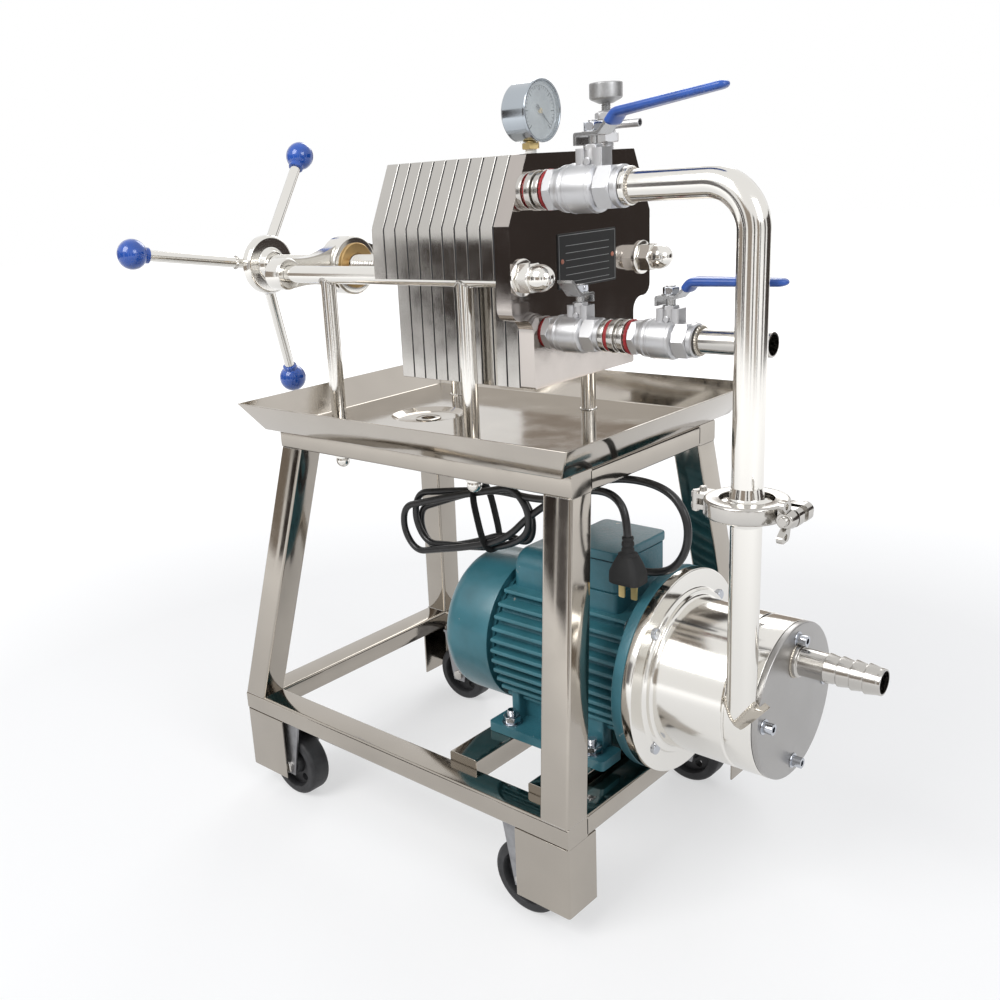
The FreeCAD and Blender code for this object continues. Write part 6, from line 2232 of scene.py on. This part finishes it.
# ------------------------------------------------------------------ studio
@dataclass
class Studio:
    """Floor, pale surroundings, soft lamps, dark cards for the metal, and the camera."""

    floor: float = 12.0
    card_r: float = 3.4
    card_high: float = 1.35
    lens: float = 38.87
    place: tuple[float, float, float] = (0.71955, -0.8555, 0.6869)
    right: tuple[float, float, float] = (0.72167, 0.68923, -0.06446)
    up: tuple[float, float, float] = (-0.15761, 0.25427, 0.95420)
    back: tuple[float, float, float] = (0.67405, -0.67847, 0.29213)
    shift: tuple[float, float] = (0.0886, 0.0102)

    @staticmethod
    def pale_rays(tree: bpy.types.NodeTree) -> bpy.types.NodeSocket:
        """1 for rays from the camera and in reflections and glass, else 0."""
        path = tree.nodes.new("ShaderNodeLightPath")
        out = path.outputs["Is Camera Ray"]
        for kind in ("Is Glossy Ray", "Is Transmission Ray"):
            either = tree.nodes.new("ShaderNodeMath")
            either.operation = "MAXIMUM"
            tree.links.new(out, either.inputs[0])
            tree.links.new(path.outputs[kind], either.inputs[1])
            out = either.outputs[0]
        return out

    def world(self) -> None:
        """Pale world: white to the camera and in reflections, softer as a light."""
        world = bpy.data.worlds.new("studio_air")
        bpy.context.scene.world = world
        world.use_nodes = True
        tree = world.node_tree
        tree.nodes.clear()
        out = tree.nodes.new("ShaderNodeOutputWorld")
        mix = tree.nodes.new("ShaderNodeMixShader")
        tree.links.new(self.pale_rays(tree), mix.inputs[0])
        for k, (colour, strength) in enumerate((((0.93, 0.95, 1.0), 0.5), ((1.0, 1.0, 1.0), 1.0))):
            air = tree.nodes.new("ShaderNodeBackground")
            air.inputs[0].default_value = (*colour, 1.0)
            air.inputs[1].default_value = strength
            tree.links.new(air.outputs[0], mix.inputs[k + 1])
        tree.links.new(mix.outputs[0], out.inputs[0])

    def ground(self) -> None:
        """Matte floor that is pale to the eye, whiter with distance, and keeps the shadow."""
        mesh = bpy.data.meshes.new("studio_floor")
        f = self.floor
        mesh.from_pydata([(-f, -f, 0), (f, -f, 0), (f, f, 0), (-f, f, 0)], [], [(0, 1, 2, 3)])
        obj = bpy.data.objects.new("studio_floor", mesh)
        bpy.context.scene.collection.objects.link(obj)
        graph = Graph(bpy.data.materials.new("studio_floor"))
        graph.shader.inputs["Base Color"].default_value = (0.45, 0.45, 0.45, 1.0)
        graph.shader.inputs["Roughness"].default_value = 0.9
        graph.shader.inputs["Specular IOR Level"].default_value = 0.0
        far = graph.node("ShaderNodeVectorMath", operation="LENGTH")
        graph.link(graph.coords.outputs["Object"], far.inputs[0])
        glow = graph.node("ShaderNodeEmission")
        graph.link(graph.spread(far.outputs["Value"], 0.8, 2.6, 0.52, 1.0), glow.inputs["Strength"])
        both = graph.node("ShaderNodeAddShader")
        graph.link(graph.shader.outputs[0], both.inputs[0])
        graph.link(glow.outputs[0], both.inputs[1])
        mix = graph.node("ShaderNodeMixShader")
        graph.link(self.pale_rays(graph.tree), mix.inputs[0])
        graph.link(graph.shader.outputs[0], mix.inputs[1])
        graph.link(both.outputs[0], mix.inputs[2])
        out = next(n for n in graph.tree.nodes if n.type == "OUTPUT_MATERIAL")
        graph.link(mix.outputs[0], out.inputs[0])
        mesh.materials.append(graph.material)

    def surround(self) -> None:
        """Upright cards on a circle round the machine that only polished metal sees.

        Each card is an arc between two azimuths in degrees, standing on the floor.
        """
        tones = {"umber": (0.060, 0.050, 0.046), "tan": (0.34, 0.29, 0.245),
                 "slate": (0.15, 0.14, 0.14)}
        arcs = {"umber": ((26, 70), (226, 238), (300, 308), (338, 343)),
                "tan": ((98, 128), (184, 222), (262, 290), (320, 334)),
                "slate": ((150, 163), (240, 250), (5, 16))}
        for name, tone in tones.items():
            shell = Shell()
            for a0, a1 in arcs[name]:
                t = np.radians(np.linspace(a0, a1, 12))
                ring = polar(0.0, self.card_r, t, (0, 0, 0), Axis.Z)
                shell.grid(np.stack([ring, ring + [0.0, 0.0, self.card_high]]))
            mesh = bpy.data.meshes.new(f"card_{name}")
            mesh.from_pydata(shell.verts, [], shell.faces)
            self.hang(f"card_{name}", mesh, tone)

    @staticmethod
    def hang(name: str, mesh: bpy.types.Mesh, tone: tuple[float, float, float]) -> bpy.types.Object:
        """Link a card and hide it from everything but reflections."""
        obj = bpy.data.objects.new(name, mesh)
        bpy.context.scene.collection.objects.link(obj)
        graph = Graph(bpy.data.materials.new(name))
        graph.shader.inputs["Base Color"].default_value = (0.0, 0.0, 0.0, 1.0)
        graph.shader.inputs["Specular IOR Level"].default_value = 0.0
        graph.shader.inputs["Emission Color"].default_value = (*tone, 1.0)
        graph.shader.inputs["Emission Strength"].default_value = 1.0
        mesh.materials.append(graph.material)
        obj.visible_camera = False
        obj.visible_diffuse = False
        obj.visible_shadow = False
        obj.visible_transmission = False
        return obj

    def lamp(self, name: str, place: tuple[float, float, float], size: float, power: float,
             tint: tuple[float, float, float] = (1.0, 1.0, 1.0)) -> None:
        """A large soft lamp aimed at the machine.

        Args:
            name: object name.
            place: where it hangs, in metres.
            size: side in metres.
            power: watts.
            tint: its colour.
        """
        data = bpy.data.lights.new(name, "AREA")
        data.size = size
        data.energy = power
        data.color = tint
        obj = bpy.data.objects.new(name, data)
        bpy.context.scene.collection.objects.link(obj)
        aim = Vector((0.0, 0.0, 0.35)) - Vector(place)
        obj.matrix_world = Matrix.Translation(place) @ aim.to_track_quat("-Z", "Y").to_matrix().to_4x4()

    def camera(self) -> None:
        """The camera at the machine's front right, a little above the tray."""
        data = bpy.data.cameras.new("view")
        data.lens = self.lens
        data.sensor_width = 36.0
        data.shift_x, data.shift_y = self.shift
        data.clip_start = 0.01
        obj = bpy.data.objects.new("view", data)
        bpy.context.scene.collection.objects.link(obj)
        rows = [[self.right[i], self.up[i], self.back[i], self.place[i]] for i in range(3)]
        obj.matrix_world = Matrix(rows + [[0.0, 0.0, 0.0, 1.0]])
        bpy.context.scene.camera = obj

    def build(self) -> None:
        """Set the stage."""
        self.world()
        self.ground()
        self.lamp("key", (-0.4, -2.2, 2.3), 1.6, 46.0)
        self.lamp("side", (2.4, -0.6, 1.7), 1.2, 22.0, (0.95, 0.97, 1.0))
        self.lamp("rear", (-1.2, 2.2, 2.0), 1.4, 18.0)
        self.surround()
        bpy.context.scene.view_settings.view_transform = "Standard"
        self.camera()


def main() -> None:
    """Dress the frame: build every sub-assembly, then the studio."""
    logging.basicConfig(level=logging.INFO, format="%(name)s: %(message)s")
    FRAME.update(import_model())
    parts = (Cart(), Castors(), Tray(), PressFrame(), Leaves(), Handwheel(), Nameplate(), Gauge(),
             Vent(), Pipework(), Pump(), Motor(), PowerCord(), Studio())
    for part in parts:
        LOG.info("building %s", type(part).__name__)
        part.build()
    bpy.context.view_layer.update()


if __name__ == "__main__":
    main()
